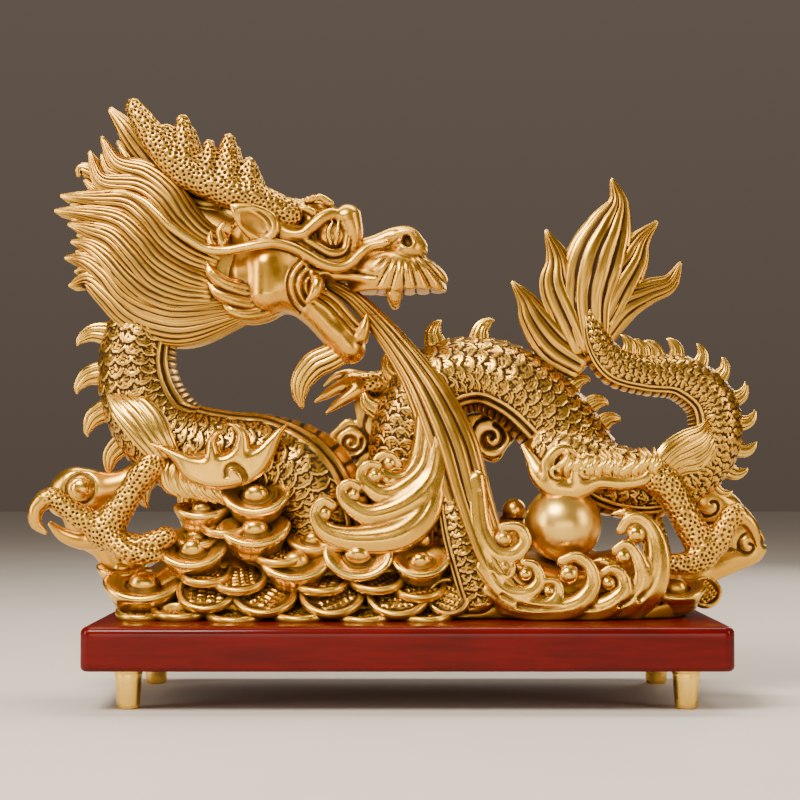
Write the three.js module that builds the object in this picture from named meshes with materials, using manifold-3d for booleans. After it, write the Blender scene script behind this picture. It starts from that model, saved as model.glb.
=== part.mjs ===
// A cast brass dragon on a red lacquered board with four turned brass feet.
//
// The dragon, the water it spits, the waves, pearl, clouds, ingots and coins are one casting.
// Millimetres, +Z up, +X to the viewer's right, -Y to the front. Every place below is given
// from the middle of the board's top, and the whole part is then set down with its origin at
// the bottom centre of its bounding box.

import * as THREE from 'three';
import { mergeVertices } from 'three/addons/utils/BufferGeometryUtils.js';
import Module from 'manifold-3d';

const wasm = await Module();
wasm.setup();

// ---------------------------------------------------------------- driving dimensions

const BOARD = { length: 410, depth: 180, thickness: 28, innerCorner: 3, edge: 4 };
const FOOT = { height: 26, topRadius: 9.5, bottomRadius: 7, inset: 27 };
const SEAT_GAP = 0.3;

const CASTING_BOTTOM = SEAT_GAP;
const NECK_ROUND = 8;
const LIMB_ROUND = 6;
const LOCK_ROUND = 5;
const SPINE_ROUND = 4;
const INGOT_ROUND = 8;
const COIN_ROUND = 8;
const PEARL_RADIUS = 25.5;
const COIN_THICKNESS = 4;
// An ingot's height and depth as shares of its radius, and its ends' lift as a share of its height.
const INGOT_HEIGHT = 0.78;
const INGOT_DEPTH = 0.72;
const INGOT_END_LIFT = 0.22;
const COIN_FOOT = 0.94;
const FOOT_ROUND = 20;

const BRASS = { color: 0xc8963c, roughness: 0.32, metalness: 1 };
const POLISHED_BRASS = { color: 0xd9b56a, roughness: 0.15, metalness: 1 };
const RED_LACQUER = { color: 0x7a1a12, roughness: 0.2, metalness: 0 };

// ---------------------------------------------------------------- solids from three.js shapes

function asSolid(geometry) {
  const bare = geometry.index ? geometry.toNonIndexed() : geometry.clone();
  bare.deleteAttribute('normal');
  bare.deleteAttribute('uv');
  const merged = mergeVertices(bare, 1e-4);
  const vertProperties = new Float32Array(merged.attributes.position.array);
  const triVerts = new Uint32Array(merged.index.array);
  return new wasm.Manifold(new wasm.Mesh({ numProp: 3, vertProperties, triVerts }));
}

function asGeometry(solid) {
  const mesh = solid.getMesh();
  const geometry = new THREE.BufferGeometry();
  geometry.setAttribute('position', new THREE.BufferAttribute(new Float32Array(mesh.vertProperties), 3));
  geometry.setIndex(new THREE.BufferAttribute(new Uint32Array(mesh.triVerts), 1));
  geometry.computeVertexNormals();
  return geometry;
}

function largestBody(solid) {
  const bodies = solid.decompose();
  bodies.sort((a, b) => b.volume() - a.volume());
  return bodies[0];
}

function between(list, t) {
  const place = t * (list.length - 1);
  const first = Math.min(Math.floor(place), list.length - 2);
  return THREE.MathUtils.lerp(list[first], list[first + 1], place - first);
}

// A round or oval limb through stations [x, y, z, radius]. `wide` stretches it front to back.
function limb(stations, { round = LIMB_ROUND, steps = 2 * (stations.length - 1), wide = 1 } = {}) {
  const line = new THREE.CatmullRomCurve3(stations.map(([x, y, z]) => new THREE.Vector3(x, y, z)));
  const radii = stations.map((station) => station[3]);
  const geometry = new THREE.CylinderGeometry(1, 1, 1, round, steps);
  const position = geometry.attributes.position;
  const depth = new THREE.Vector3(0, 1, 0);
  for (let i = 0; i < position.count; i += 1) {
    const t = THREE.MathUtils.clamp(position.getY(i) + 0.5, 0, 1);
    const along = line.getTangent(t);
    const back = depth.clone().addScaledVector(along, -depth.dot(along)).normalize();
    const across = along.clone().cross(back);
    const radius = between(radii, t);
    const point = line.getPoint(t);
    point.addScaledVector(across, position.getX(i) * radius);
    point.addScaledVector(back, position.getZ(i) * radius * wide);
    position.setXYZ(i, point.x, point.y, point.z);
  }
  return asSolid(geometry);
}

// An oval lump with half-sizes [x, y, z].
function lump([x, y, z], [rx, ry, rz], { around = 8, up = 5 } = {}) {
  const geometry = new THREE.SphereGeometry(1, around, up);
  geometry.rotateX(Math.PI / 2);
  geometry.scale(rx, ry, rz);
  geometry.translate(x, y, z);
  return asSolid(geometry);
}

// A plate cut to a smooth outline of [x, z] points, `thick` front to back, with rounded edges.
function plate(outline, y, thick, { bevel = 3, smooth = 1 } = {}) {
  const corners = outline.map(([x, z]) => new THREE.Vector3(x, z, 0));
  const line = new THREE.CatmullRomCurve3(corners, true);
  const points = line.getPoints(smooth * outline.length).slice(1);
  const shape = new THREE.Shape(points.map((point) => new THREE.Vector2(point.x, point.y)));
  const geometry = new THREE.ExtrudeGeometry(shape, {
    depth: thick - 2 * bevel,
    bevelEnabled: bevel > 0,
    bevelThickness: bevel,
    bevelSize: bevel,
    bevelOffset: -bevel,
    bevelSegments: 1,
  });
  geometry.rotateX(Math.PI / 2);
  geometry.translate(0, y + thick / 2 - bevel, 0);
  return asSolid(geometry);
}

function tilt(geometry, towardViewer, roll) {
  geometry.rotateX(THREE.MathUtils.degToRad(towardViewer));
  geometry.rotateY(THREE.MathUtils.degToRad(roll));
  return geometry;
}

// A boat-shaped ingot: a dish with raised ends and a dome in the middle.
function ingot([x, y, z], radius, { tip = 22, roll = 0 } = {}) {
  const height = INGOT_HEIGHT * radius;
  const profile = [
    [0, 0], [0.6, 0], [1, 0.74], [0.5, 0.5], [0.34, 0.86], [0, 1],
  ];
  const line = profile.map(([r, h]) => new THREE.Vector2(r * radius, h * height));
  const geometry = new THREE.LatheGeometry(line, INGOT_ROUND);
  geometry.rotateX(Math.PI / 2);
  geometry.scale(1, INGOT_DEPTH, 1);
  const position = geometry.attributes.position;
  for (let i = 0; i < position.count; i += 1) {
    const reach = position.getX(i) / radius;
    position.setZ(i, position.getZ(i) + INGOT_END_LIFT * height * reach * reach);
  }
  tilt(geometry, tip, roll);
  geometry.translate(x, y, z - height / 2);
  return asSolid(geometry);
}

function coin([x, y, z], radius, { tip = 24, roll = 0 } = {}) {
  const geometry = new THREE.CylinderGeometry(radius, radius * COIN_FOOT, COIN_THICKNESS, COIN_ROUND);
  geometry.rotateX(Math.PI / 2);
  tilt(geometry, tip, roll);
  geometry.translate(x, y, z);
  return asSolid(geometry);
}

// A row of hooked spines along the outside of a body. Each leans toward the tail.
function crest(stations, { from, to, count, side, length, width, lean }) {
  const line = new THREE.CatmullRomCurve3(stations.map(([x, y, z]) => new THREE.Vector3(x, y, z)));
  const radii = stations.map((station) => station[3]);
  const spines = [];
  for (let i = 0; i < count; i += 1) {
    const t = THREE.MathUtils.lerp(from, to, count > 1 ? i / (count - 1) : 0);
    const along = line.getTangent(t);
    along.y = 0;
    along.normalize();
    const out = new THREE.Vector3(-along.z * side, 0, along.x * side);
    const radius = between(radii, t);
    const root = line.getPoint(t).addScaledVector(out, radius - 0.7 * width);
    const bend = root.clone().addScaledVector(out, 0.62 * length).addScaledVector(along, 0.25 * lean);
    const tip = root.clone().addScaledVector(out, length + 0.2 * width).addScaledVector(along, lean);
    spines.push(limb([
      [root.x, root.y, root.z, width],
      [bend.x, bend.y, bend.z, 0.55 * width],
      [tip.x, tip.y, tip.z, 0.6],
    ], { round: SPINE_ROUND, steps: 2, wide: 0.55 }));
  }
  return spines;
}

// ---------------------------------------------------------------- the dragon's body

const NECK = [
  [-119, 2, 239, 16], [-143, 2, 229, 22], [-168, 2, 213, 25], [-181, 2, 189, 26], [-183, 2, 164, 26.5],
  [-175, 3, 137, 29], [-155, 4, 115, 30.5], [-125, 4, 107, 31], [-94, 4, 103, 32], [-69, 4, 91, 34],
  [-58, 4, 64, 33], [-56, 4, 23, 31],
];
const REAR = [
  [-1, 14, 20, 24], [-1, 14, 49, 24], [-1, 16, 91, 25], [4, 16, 129, 27], [22, 15, 156, 27.5], [49, 12, 163, 25.5],
  [74, 8, 154, 26.5], [96, 6, 135, 27], [113, 5, 113, 26.5], [132, 5, 92, 23], [159, 6, 83, 19], [182, 6, 87, 18],
];
const TAIL = [
  [159, 6, 83, 18], [182, 6, 88, 18], [200, 6, 101, 18.5], [210, 5, 121, 18.5], [206, 5, 145, 17.5],
  [186, 3, 160, 15.5], [162, 1, 162, 13.5], [141, 0, 168, 13], [129, -1, 184, 10], [124, -2, 206, 5],
];

function bodySolids() {
  return [
    limb(NECK, { round: NECK_ROUND, steps: 13 }),
    limb(REAR, { round: NECK_ROUND, steps: 13 }),
    limb(TAIL, { round: 7, steps: 12 }),
    ...crest(NECK, { from: 0.28, to: 0.56, count: 6, side: -1, length: 17, width: 7, lean: 9 }),
    ...crest(REAR, { from: 0.33, to: 0.51, count: 4, side: 1, length: 13, width: 6.5, lean: 7 }),
    ...crest(REAR, { from: 0.62, to: 0.76, count: 4, side: 1, length: 11, width: 6, lean: 5 }),
    ...crest(TAIL, { from: 0.2, to: 0.76, count: 11, side: -1, length: 10, width: 5, lean: 6 }),
  ];
}

// ---------------------------------------------------------------- head, mane and horns

const HALF_HEAD = 27;
// The mane's locks sweep back from the cheek and meet over the neck, so each spans both sides.
const MANE_LOCKS = [
  [[-94, 1, 271, 9], [-129, 1, 284, 13], [-163, 1, 306, 12], [-187, 1, 325, 8], [-202, 1, 342, 1.5]],
  [[-98, 1, 262, 9], [-133, 1, 270, 14], [-170, 1, 288, 13], [-197, 1, 304, 8], [-216, 1, 316, 1.5]],
  [[-102, 1, 251, 9], [-138, 1, 256, 14], [-177, 1, 270, 13], [-206, 1, 286, 8], [-228, 1, 297, 1.5]],
  [[-106, 1, 241, 9], [-141, 1, 242, 14], [-180, 1, 253, 13], [-211, 1, 266, 8], [-238, 1, 276, 1.5]],
  [[-108, 1, 228, 9], [-142, 1, 225, 14], [-180, 1, 233, 13], [-210, 1, 243, 8], [-231, 1, 236, 1.5]],
  [[-107, 1, 213, 9], [-139, 1, 208, 13], [-173, 1, 211, 12], [-200, 1, 221, 7], [-222, 1, 222, 1.5]],
];
const MANE_SPREAD = 2.1;
const HORN = [
  [-80, -15, 272, 9], [-97, -17, 278, 9.5], [-117, -18, 284, 10], [-137, -18, 292, 10], [-154, -18, 303, 10],
  [-168, -18, 318, 9.5], [-177, -18, 332, 7.5], [-184, -18, 342, 4],
];
// Each tine: foot [x, z], tip [x, z], radius at the foot.
const TINES = [
  [[-157, 303], [-166, 325], 6], [[-148, 297], [-151, 337], 7], [[-133, 291], [-133, 320], 6],
  [[-120, 285], [-120, 324], 6.5], [[-105, 280], [-106, 308], 6],
];

function maneSolids() {
  return MANE_LOCKS.map((lock) => limb(lock, { round: LOCK_ROUND, steps: 4, wide: MANE_SPREAD }));
}

function hornSolids(side) {
  const place = ([x, y, z, radius]) => [x, side < 0 ? y : 2 - y, z, radius];
  const beam = limb(HORN.map(place), { round: 6, steps: 7 });
  const y = side * 17 + 1;
  const tines = TINES.map(([foot, tip, radius]) => limb([
    [foot[0], y, foot[1], radius],
    [0.5 * (foot[0] + tip[0]), y, 0.5 * (foot[1] + tip[1]), 0.8 * radius],
    [tip[0], y + 3 * side, tip[1], 1.2],
  ], { round: SPINE_ROUND, steps: 2 }));
  return [beam, ...tines];
}

function headSolids() {
  const solids = [
    lump([-90, 1, 252], [32, HALF_HEAD, 25], { around: 10, up: 6 }),
    limb([[-78, 1, 248, 24], [-49, 1, 240, 19], [-24, 1, 240, 15], [-2, 1, 242, 15], [16, 1, 236, 11]], {
      round: 8, steps: 6, wide: 1.2,
    }),
    lump([6, 1, 235], [22, 21, 13]),
    limb([[-83, 1, 214, 17], [-60, 1, 201, 14], [-44, 1, 188, 11], [-31, 1, 183, 5]], {
      round: LIMB_ROUND, steps: 4, wide: 1.25,
    }),
    limb([[-47, 1, 179, 9], [-62, 1, 171, 7.5], [-72, 1, 160, 5.5], [-73, 1, 143, 2]], { round: LOCK_ROUND, steps: 4 }),
  ];
  for (const side of [-1, 1]) {
    const y = (distance) => 1 + side * distance;
    solids.push(
      lump([-94, y(15), 219], [20, 14, 23], { around: 7 }),
      lump([-42, y(13), 264], [13, 9, 12], { around: 6, up: 4 }),
      lump([-1, y(9), 252], [11, 7, 8], { around: 6, up: 4 }),
      limb([[-94, y(22), 259, 7], [-106, y(27), 264, 8], [-116, y(29), 272, 1.5]], { round: SPINE_ROUND, steps: 3 }),
      limb([[-104, y(20), 226, 8], [-120, y(23), 223, 5], [-136, y(22), 238, 1.2]], { round: SPINE_ROUND, steps: 3 }),
      limb([[-102, y(18), 209, 8], [-118, y(21), 204, 5], [-131, y(20), 214, 1.2]], { round: SPINE_ROUND, steps: 3 }),
      limb([[-10, y(11), 228, 5], [-11, y(11), 219, 4], [-8, y(11), 211, 1]], { round: SPINE_ROUND, steps: 2 }),
      ...hornSolids(side),
    );
  }
  return [...solids, ...maneSolids()];
}

// ---------------------------------------------------------------- legs

// A leg, then its toes and claws, each a list of stations.
const NEAR_FORELEG = {
  leg: [
    [-105, -12, 103, 22], [-128, -22, 103, 19], [-148, -28, 104, 15], [-168, -31, 103, 10.5], [-177, -32, 92, 8.5],
    [-185, -32, 78, 8.5], [-194, -32, 65, 10.5], [-199, -32, 57, 11],
  ],
  toes: [
    [[-200, -32, 58, 8.5], [-211, -34, 64, 8], [-222, -36, 70, 7.2], [-234, -37, 78, 6.5]],
    [[-234, -37, 78, 6], [-242, -38, 73, 5], [-243, -38, 65, 3.5], [-238, -37, 57, 1.2]],
    [[-196, -34, 54, 8], [-184, -36, 49, 7.8], [-172, -37, 49, 7.2], [-158, -37, 52, 7]],
    [[-193, -38, 52, 7], [-183, -42, 44, 6.5], [-172, -43, 41, 5.8], [-160, -42, 42, 3]],
  ],
};
const NEAR_HINDLEG = {
  leg: [
    [103, -10, 100, 20], [123, -18, 94, 17], [145, -23, 95, 13.5], [164, -26, 96, 11.5], [174, -27, 90, 10.6],
    [181, -28, 74, 9.5], [189, -28, 58, 9.5], [196, -28, 45, 10.6],
  ],
  toes: [
    [[196, -28, 44, 10], [204, -30, 50, 8], [210, -31, 60, 7.5], [216, -32, 69, 6]],
    [[216, -32, 68, 5.5], [223, -32, 62, 4.6], [227, -32, 55, 3.3], [229, -31, 48, 1.2]],
    [[195, -30, 40, 9.5], [186, -33, 36, 7.5], [177, -35, 35, 6.8], [166, -36, 37, 5.5]],
  ],
};
const FAR_FORELEG = {
  leg: [[31, 24, 165, 12.5], [13, 26, 165, 10.5], [-6, 26, 160, 9], [-24, 24, 157, 9], [-37, 22, 157, 8.5]],
  toes: [
    [[-34, 22, 158, 7.5], [-46, 20, 157, 6], [-57, 20, 151, 3.5], [-62, 20, 144, 1]],
    [[-32, 20, 154, 7], [-42, 17, 148, 5], [-52, 16, 142, 3], [-55, 16, 136, 1]],
  ],
};
const FAR_HINDLEG = {
  leg: [[120, 22, 92, 16], [146, 30, 84, 12], [166, 33, 72, 9.5], [172, 34, 52, 9.5], [176, 34, 34, 10]],
  toes: [[[174, 34, 34, 9], [186, 36, 30, 7], [198, 37, 26, 5], [206, 37, 20, 1.5]]],
};

function legSolids({ leg, toes }) {
  const steps = leg.length;
  return [limb(leg, { steps }), ...toes.map((toe) => limb(toe, { round: LOCK_ROUND, steps: 3 }))];
}

// ---------------------------------------------------------------- water, waves and pearl

const STREAM = [
  [-57, 0, 222, 4], [-42, -4, 214, 7], [-23, -8, 193, 10], [-5, -13, 167, 13.5], [14, -18, 143, 17],
  [29, -22, 114, 19], [36, -26, 84, 20], [44, -30, 52, 22], [54, -32, 16, 23],
];
const WAVE_STEMS = [
  [[22, -30, 91, 9], [-5, -33, 68, 8.5], [-37, -36, 52, 8], [-56, -38, 57, 6.5], [-61, -38, 69, 6], [-51, -38, 73, 4.5]],
  [[22, -28, 98, 8.5], [5, -31, 77, 8], [-21, -34, 65, 7], [-41, -36, 70, 6], [-43, -36, 82, 5], [-33, -36, 86, 4.5]],
  [[15, -26, 108, 8], [2, -29, 87, 7], [-16, -32, 80, 6], [-27, -33, 89, 5], [-24, -33, 98, 4.5]],
  [[52, -36, 22, 8], [60, -38, 34, 7], [72, -38, 52, 6], [64, -38, 61, 5.5], [57, -38, 54, 6]],
  [[70, -38, 10, 7], [98, -41, 9, 7], [118, -42, 20, 7], [114, -42, 36, 6.5], [103, -42, 30, 7.5]],
  [[100, -38, 8, 7], [128, -41, 8, 7], [144, -42, 20, 6.5], [139, -42, 32, 5.5], [129, -42, 25, 5.5]],
  [[120, -36, 8, 8], [150, -39, 14, 8], [158, -40, 34, 7], [150, -40, 48, 6], [140, -40, 42, 5]],
  [[140, -32, 8, 9], [164, -36, 22, 9], [168, -37, 44, 8.5], [160, -37, 62, 7], [150, -37, 56, 7.5]],
];

function waterSolids() {
  return [
    limb(STREAM, { round: 8, steps: 10, wide: 0.75 }),
    ...WAVE_STEMS.map((stem) => limb(stem, { round: LOCK_ROUND, steps: 5 })),
    lump([104, -20, 62], [PEARL_RADIUS, PEARL_RADIUS, PEARL_RADIUS], { around: 11, up: 7 }),
  ];
}

// ---------------------------------------------------------------- tail fin and clouds

// The tail fin is five flat flames that fan out of the tip of the tail.
const FIN_FLAMES = [
  [[126, -1, 182, 12], [123, -1, 213, 17], [129, -1, 239, 20], [138, -1, 262, 15], [144, -1, 280, 7], [140, -1, 296, 1.5]],
  [[122, 0, 179, 12], [112, 0, 206, 15], [105, 0, 225, 14], [103, 0, 242, 8], [95, 0, 261, 1.5]],
  [[121, 2, 169, 11], [102, 2, 183, 14], [88, 2, 201, 11], [81, 2, 214, 6], [72, 2, 226, 1.5]],
  [[131, 1, 199, 12], [142, 1, 224, 15], [153, 1, 242, 12], [160, 1, 255, 6.5], [171, 1, 267, 1.5]],
  [[131, 2, 189, 10], [146, 2, 210, 12], [164, 2, 219, 8.5], [179, 2, 225, 6], [187, 2, 239, 1.5]],
];
const FIN_FLATNESS = 0.42;

const LEFT_CLOUD = [
  [-180, 104], [-200, 98], [-206, 90], [-221, 98], [-231, 98], [-242, 95], [-248, 87], [-250, 77], [-254, 66],
  [-250, 55], [-229, 53], [-216, 47], [-207, 38], [-190, 30], [-170, 34], [-166, 60], [-172, 84],
];
const RIGHT_CLOUD = [
  [194, 86], [209, 89], [220, 87], [226, 80], [225, 69], [231, 63], [240, 57], [246, 46], [243, 35], [228, 24],
  [210, 18], [190, 14], [180, 36], [184, 63],
];
const BACK_CLOUDS = [
  [[-43, 132], [-38, 145], [-24, 153], [-8, 156], [6, 152], [13, 139], [13, 104], [4, 60], [-30, 60], [-39, 110]],
  [[41, 139], [53, 143], [65, 138], [71, 127], [65, 115], [58, 100], [45, 80], [30, 90], [34, 111]],
];

function finAndCloudSolids() {
  return [
    ...FIN_FLAMES.map((flame) => limb(flame, { round: LOCK_ROUND, steps: 5, wide: FIN_FLATNESS })),
    plate(LEFT_CLOUD, 4, 26),
    plate(RIGHT_CLOUD, 10, 26),
    plate(BACK_CLOUDS[0], 30, 22, { bevel: 0 }),
    plate(BACK_CLOUDS[1], 30, 16, { bevel: 0 }),
    lump([-219, -10, 82], [7, 6, 7]),
  ];
}

// ---------------------------------------------------------------- base, ingots and coins

// The rocky base: a low sill under everything, and a rounded bank of rock behind the hoard.
const SILL = { left: -188, right: 190, height: 14, depth: 76, round: 20 };
const ROCK = [
  [-184, 0, 8, 20], [-165, -3, 16, 27], [-130, -5, 20, 36], [-80, -7, 20, 41], [-30, -6, 18, 40], [20, -3, 16, 41],
  [70, -1, 14, 44], [110, -4, 12, 38], [150, -4, 10, 37], [182, 2, 8, 27],
];
const ROCK_DEPTH = 0.88;

const INGOTS = [
  { at: [-170, -24, 16], radius: 26, tip: 18 },
  { at: [-142, -30, 42], radius: 22 },
  { at: [-100, -28, 78], radius: 21 },
  { at: [-100, -32, 54], radius: 21 },
  { at: [-72, -34, 33], radius: 19 },
  { at: [-32, -36, 41], radius: 22, tip: 40 },
  { at: [8, -36, 34], radius: 18 },
  { at: [-132, -18, 56], radius: 17 },
  { at: [180, -24, 18], radius: 18 },
  { at: [-190, 14, 34], radius: 16 },
];
const COINS = [
  { at: [-131, -36, 17], radius: 19 },
  { at: [-93, -38, 13], radius: 20 },
  { at: [-49, -38, 16], radius: 20 },
  { at: [-5, -38, 16], radius: 20 },
  { at: [27, -38, 14], radius: 14 },
  { at: [-109, -32, 26], radius: 18 },
  { at: [-70, -38, 7], radius: 17, tip: 12 },
];

// A rectangle with rounded corners, centred `offset` to the right.
function roundedRectangle(length, depth, round, offset = 0) {
  const x = length / 2 - round;
  const y = depth / 2 - round;
  const shape = new THREE.Shape();
  shape.absarc(offset + x, y, round, 0, Math.PI / 2);
  shape.absarc(offset - x, y, round, Math.PI / 2, Math.PI);
  shape.absarc(offset - x, -y, round, Math.PI, 1.5 * Math.PI);
  shape.absarc(offset + x, -y, round, 1.5 * Math.PI, 2 * Math.PI);
  return shape;
}

function sillSolid() {
  const middle = (SILL.left + SILL.right) / 2;
  const shape = roundedRectangle(SILL.right - SILL.left, SILL.depth, SILL.round, middle);
  const geometry = new THREE.ExtrudeGeometry(shape, { depth: SILL.height, bevelEnabled: false, curveSegments: 3 });
  return asSolid(geometry);
}

function hoardSolids() {
  return [
    sillSolid(),
    limb(ROCK, { round: NECK_ROUND, steps: 9, wide: ROCK_DEPTH }),
    ...INGOTS.map(({ at, radius, ...turn }) => ingot(at, radius, turn)),
    ...COINS.map(({ at, radius, ...turn }) => coin(at, radius, turn)),
  ];
}

// Everything below the casting's flat underside is cut away with one big block.
const WASTE = { length: 700, depth: 400, height: 100 };

function cutBelow(solid) {
  const block = new THREE.BoxGeometry(WASTE.length, WASTE.depth, WASTE.height);
  block.translate(0, 0, CASTING_BOTTOM - WASTE.height / 2);
  return solid.subtract(asSolid(block));
}

function castingGeometry() {
  const solids = [
    ...hoardSolids(),
    ...bodySolids(),
    ...headSolids(),
    ...legSolids(NEAR_FORELEG),
    ...legSolids(NEAR_HINDLEG),
    ...legSolids(FAR_FORELEG),
    ...legSolids(FAR_HINDLEG),
    ...waterSolids(),
    ...finAndCloudSolids(),
  ];
  const joined = solids.slice(1).reduce((whole, next) => whole.add(next), solids[0]);
  return asGeometry(largestBody(cutBelow(joined)));
}

// ---------------------------------------------------------------- board and feet

function boardGeometry() {
  const inside = 2 * BOARD.edge;
  const shape = roundedRectangle(BOARD.length - inside, BOARD.depth - inside, BOARD.innerCorner);
  const geometry = new THREE.ExtrudeGeometry(shape, {
    depth: BOARD.thickness - 2 * BOARD.edge,
    bevelEnabled: true,
    bevelThickness: BOARD.edge,
    bevelSize: BOARD.edge,
    bevelSegments: 2,
    curveSegments: 3,
  });
  geometry.translate(0, 0, -BOARD.thickness + BOARD.edge);
  return geometry;
}

function footGeometry() {
  const geometry = new THREE.LatheGeometry([
    new THREE.Vector2(0, 0),
    new THREE.Vector2(FOOT.bottomRadius, 0),
    new THREE.Vector2(FOOT.topRadius, FOOT.height - SEAT_GAP),
    new THREE.Vector2(0, FOOT.height - SEAT_GAP),
  ], FOOT_ROUND);
  geometry.rotateX(Math.PI / 2);
  geometry.translate(0, 0, -BOARD.thickness - FOOT.height);
  return geometry;
}

// ---------------------------------------------------------------- the whole part

function named(name, geometry, finish) {
  const mesh = new THREE.Mesh(geometry, new THREE.MeshStandardMaterial(finish));
  mesh.name = name;
  return mesh;
}

const part = new THREE.Group();
part.add(named('dragon_casting', castingGeometry(), BRASS));
part.add(named('lacquered_board', boardGeometry(), RED_LACQUER));

const FEET = [
  ['foot_front_left', -1, -1], ['foot_front_right', 1, -1], ['foot_back_left', -1, 1], ['foot_back_right', 1, 1],
];
for (const [name, alongX, alongY] of FEET) {
  const foot = named(name, footGeometry(), POLISHED_BRASS);
  foot.position.set(alongX * (BOARD.length / 2 - FOOT.inset), alongY * (BOARD.depth / 2 - FOOT.inset), 0);
  part.add(foot);
}

const box = new THREE.Box3().setFromObject(part);
part.position.set(-(box.min.x + box.max.x) / 2, -(box.min.y + box.max.y) / 2, -box.min.z);

const whole = new THREE.Group();
whole.add(part);

export default whole;
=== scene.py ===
# %% [markdown]
# # A cast brass dragon on a red lacquered board
# The dragon arches over waves, clouds, ingots and coins, and spits a stream of water beside a big pearl.
# The real thing is one hollow brass casting, chased and rubbed bright on its high parts, with dark patina
# left in the hollows. It sits on a board under red lacquer with four turned brass feet.
# This lesson builds it piece by piece with three ways of making a form: a skin swept along a line, for
# bodies, hair and water; soft clay on a grid of voxels, for the head, paws, waves and clouds; and turned
# profiles, for coins, ingots and feet. Every size is in millimetres from the middle of the board's top.
# %% Load the frame and find the board
import math

import bpy
import numpy as np
import openvdb
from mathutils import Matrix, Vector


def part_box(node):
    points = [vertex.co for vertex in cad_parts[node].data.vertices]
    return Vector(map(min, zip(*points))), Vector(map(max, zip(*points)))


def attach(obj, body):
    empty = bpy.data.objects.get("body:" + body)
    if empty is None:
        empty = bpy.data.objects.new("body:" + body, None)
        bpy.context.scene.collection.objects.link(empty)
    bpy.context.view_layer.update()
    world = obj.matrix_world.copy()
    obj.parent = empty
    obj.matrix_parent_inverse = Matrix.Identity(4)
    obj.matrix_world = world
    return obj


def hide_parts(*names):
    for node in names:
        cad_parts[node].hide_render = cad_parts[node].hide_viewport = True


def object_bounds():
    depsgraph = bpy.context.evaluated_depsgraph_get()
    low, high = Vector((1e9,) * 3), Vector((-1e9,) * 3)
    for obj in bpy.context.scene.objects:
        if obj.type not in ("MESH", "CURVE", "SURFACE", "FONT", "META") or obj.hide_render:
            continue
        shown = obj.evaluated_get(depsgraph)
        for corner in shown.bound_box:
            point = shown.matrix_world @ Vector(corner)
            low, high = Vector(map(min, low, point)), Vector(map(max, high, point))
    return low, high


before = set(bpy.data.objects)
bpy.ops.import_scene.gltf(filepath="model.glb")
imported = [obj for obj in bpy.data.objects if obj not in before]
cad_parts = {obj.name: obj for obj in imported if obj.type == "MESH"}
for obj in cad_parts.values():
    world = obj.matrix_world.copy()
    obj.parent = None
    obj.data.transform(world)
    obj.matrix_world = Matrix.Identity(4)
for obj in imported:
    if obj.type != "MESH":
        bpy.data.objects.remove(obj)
cad_box = [list(corner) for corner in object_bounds()]

MM = 0.001  # the frame is in metres, and this lesson's numbers are in millimetres
board_low, board_high = (np.array(corner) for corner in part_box("lacquered_board"))
HOME = np.array([(board_low[0] + board_high[0]) / 2, (board_low[1] + board_high[1]) / 2, board_high[2]])
BOARD_SIZE = (board_high - board_low) / MM
rng = np.random.default_rng(8)
print("board size in mm:", BOARD_SIZE.round(1))

# %% [markdown]
# ## Camera
# The piece is seen from the front, a little over a metre away, with the eye at the height of the coils.
# A wide lens close by would spread the board's ends apart, so this one is long and stands well back, which
# keeps the board's sides nearly parallel.
# %% Place the camera
EYE = np.array([-6.6, -1150.0, 101.0])
LENS_MM, FILM_MM = 76.2, 36
NEAREST = 0.05  # metres in front of the lens
LOOK_UP = math.radians(2.2)
LOOK_RIGHT = math.radians(0.1)

camera = bpy.data.objects.new("camera", bpy.data.cameras.new("camera"))
camera.data.lens = LENS_MM
camera.data.sensor_width = FILM_MM
camera.data.clip_start = NEAREST
camera.location = HOME + EYE * MM
camera.rotation_euler = (math.pi / 2 + LOOK_UP, 0, -LOOK_RIGHT)
bpy.context.scene.collection.objects.link(camera)
bpy.context.scene.camera = camera
print("camera at", [round(v, 3) for v in camera.location])

# %% [markdown]
# ## From numbers to a mesh
# A casting with thousands of scales is too much to model by hand, and modifiers give little control over
# where each groove runs. So each piece is worked out as arrays of points and faces, and one helper turns
# arrays into a mesh. A second helper measures how hollow each spot is: it smooths a copy of the mesh and
# sees how far the skin had to move along its own normal. The finish lays patina in those hollows.
# %% Measure how hollow each spot is
def read(items, field, width, kind=np.float32):
    """One property of all a mesh's points or edges, as rows of `width` numbers."""
    values = np.empty(len(items) * width, kind)
    items.foreach_get(field, values)
    return values.reshape(-1, width)


def neighbour_mean(points, edges, count):
    total = np.zeros_like(points)
    for axis in range(3):
        total[:, axis] = np.bincount(edges[:, 0], points[edges[:, 1], axis], len(points))
        total[:, axis] += np.bincount(edges[:, 1], points[edges[:, 0], axis], len(points))
    return total / count[:, None]


def measure_hollows(mesh, near=4, far=24):
    """Keeps on each point how far it lies, in mm, under a skin smoothed `near` times and `far` times."""
    points = read(mesh.vertices, "co", 3).astype(float)
    normals = read(mesh.vertex_normals, "vector", 3)
    edges = read(mesh.edges, "vertices", 2, np.int32)
    count = np.maximum(np.bincount(edges.ravel(), minlength=len(points)), 1)
    smooth = points.copy()
    for turn in range(1, far + 1):
        smooth = 0.4 * smooth + 0.6 * neighbour_mean(smooth, edges, count)
        if turn in (near, far):
            depth = ((smooth - points) * normals).sum(axis=1) / MM
            name = "hollow" if turn == near else "valley"
            mesh.attributes.new(name, "FLOAT", "POINT").data.foreach_set("value", depth.astype(np.float32))


print("each piece will keep how hollow it is, near and far")

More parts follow.
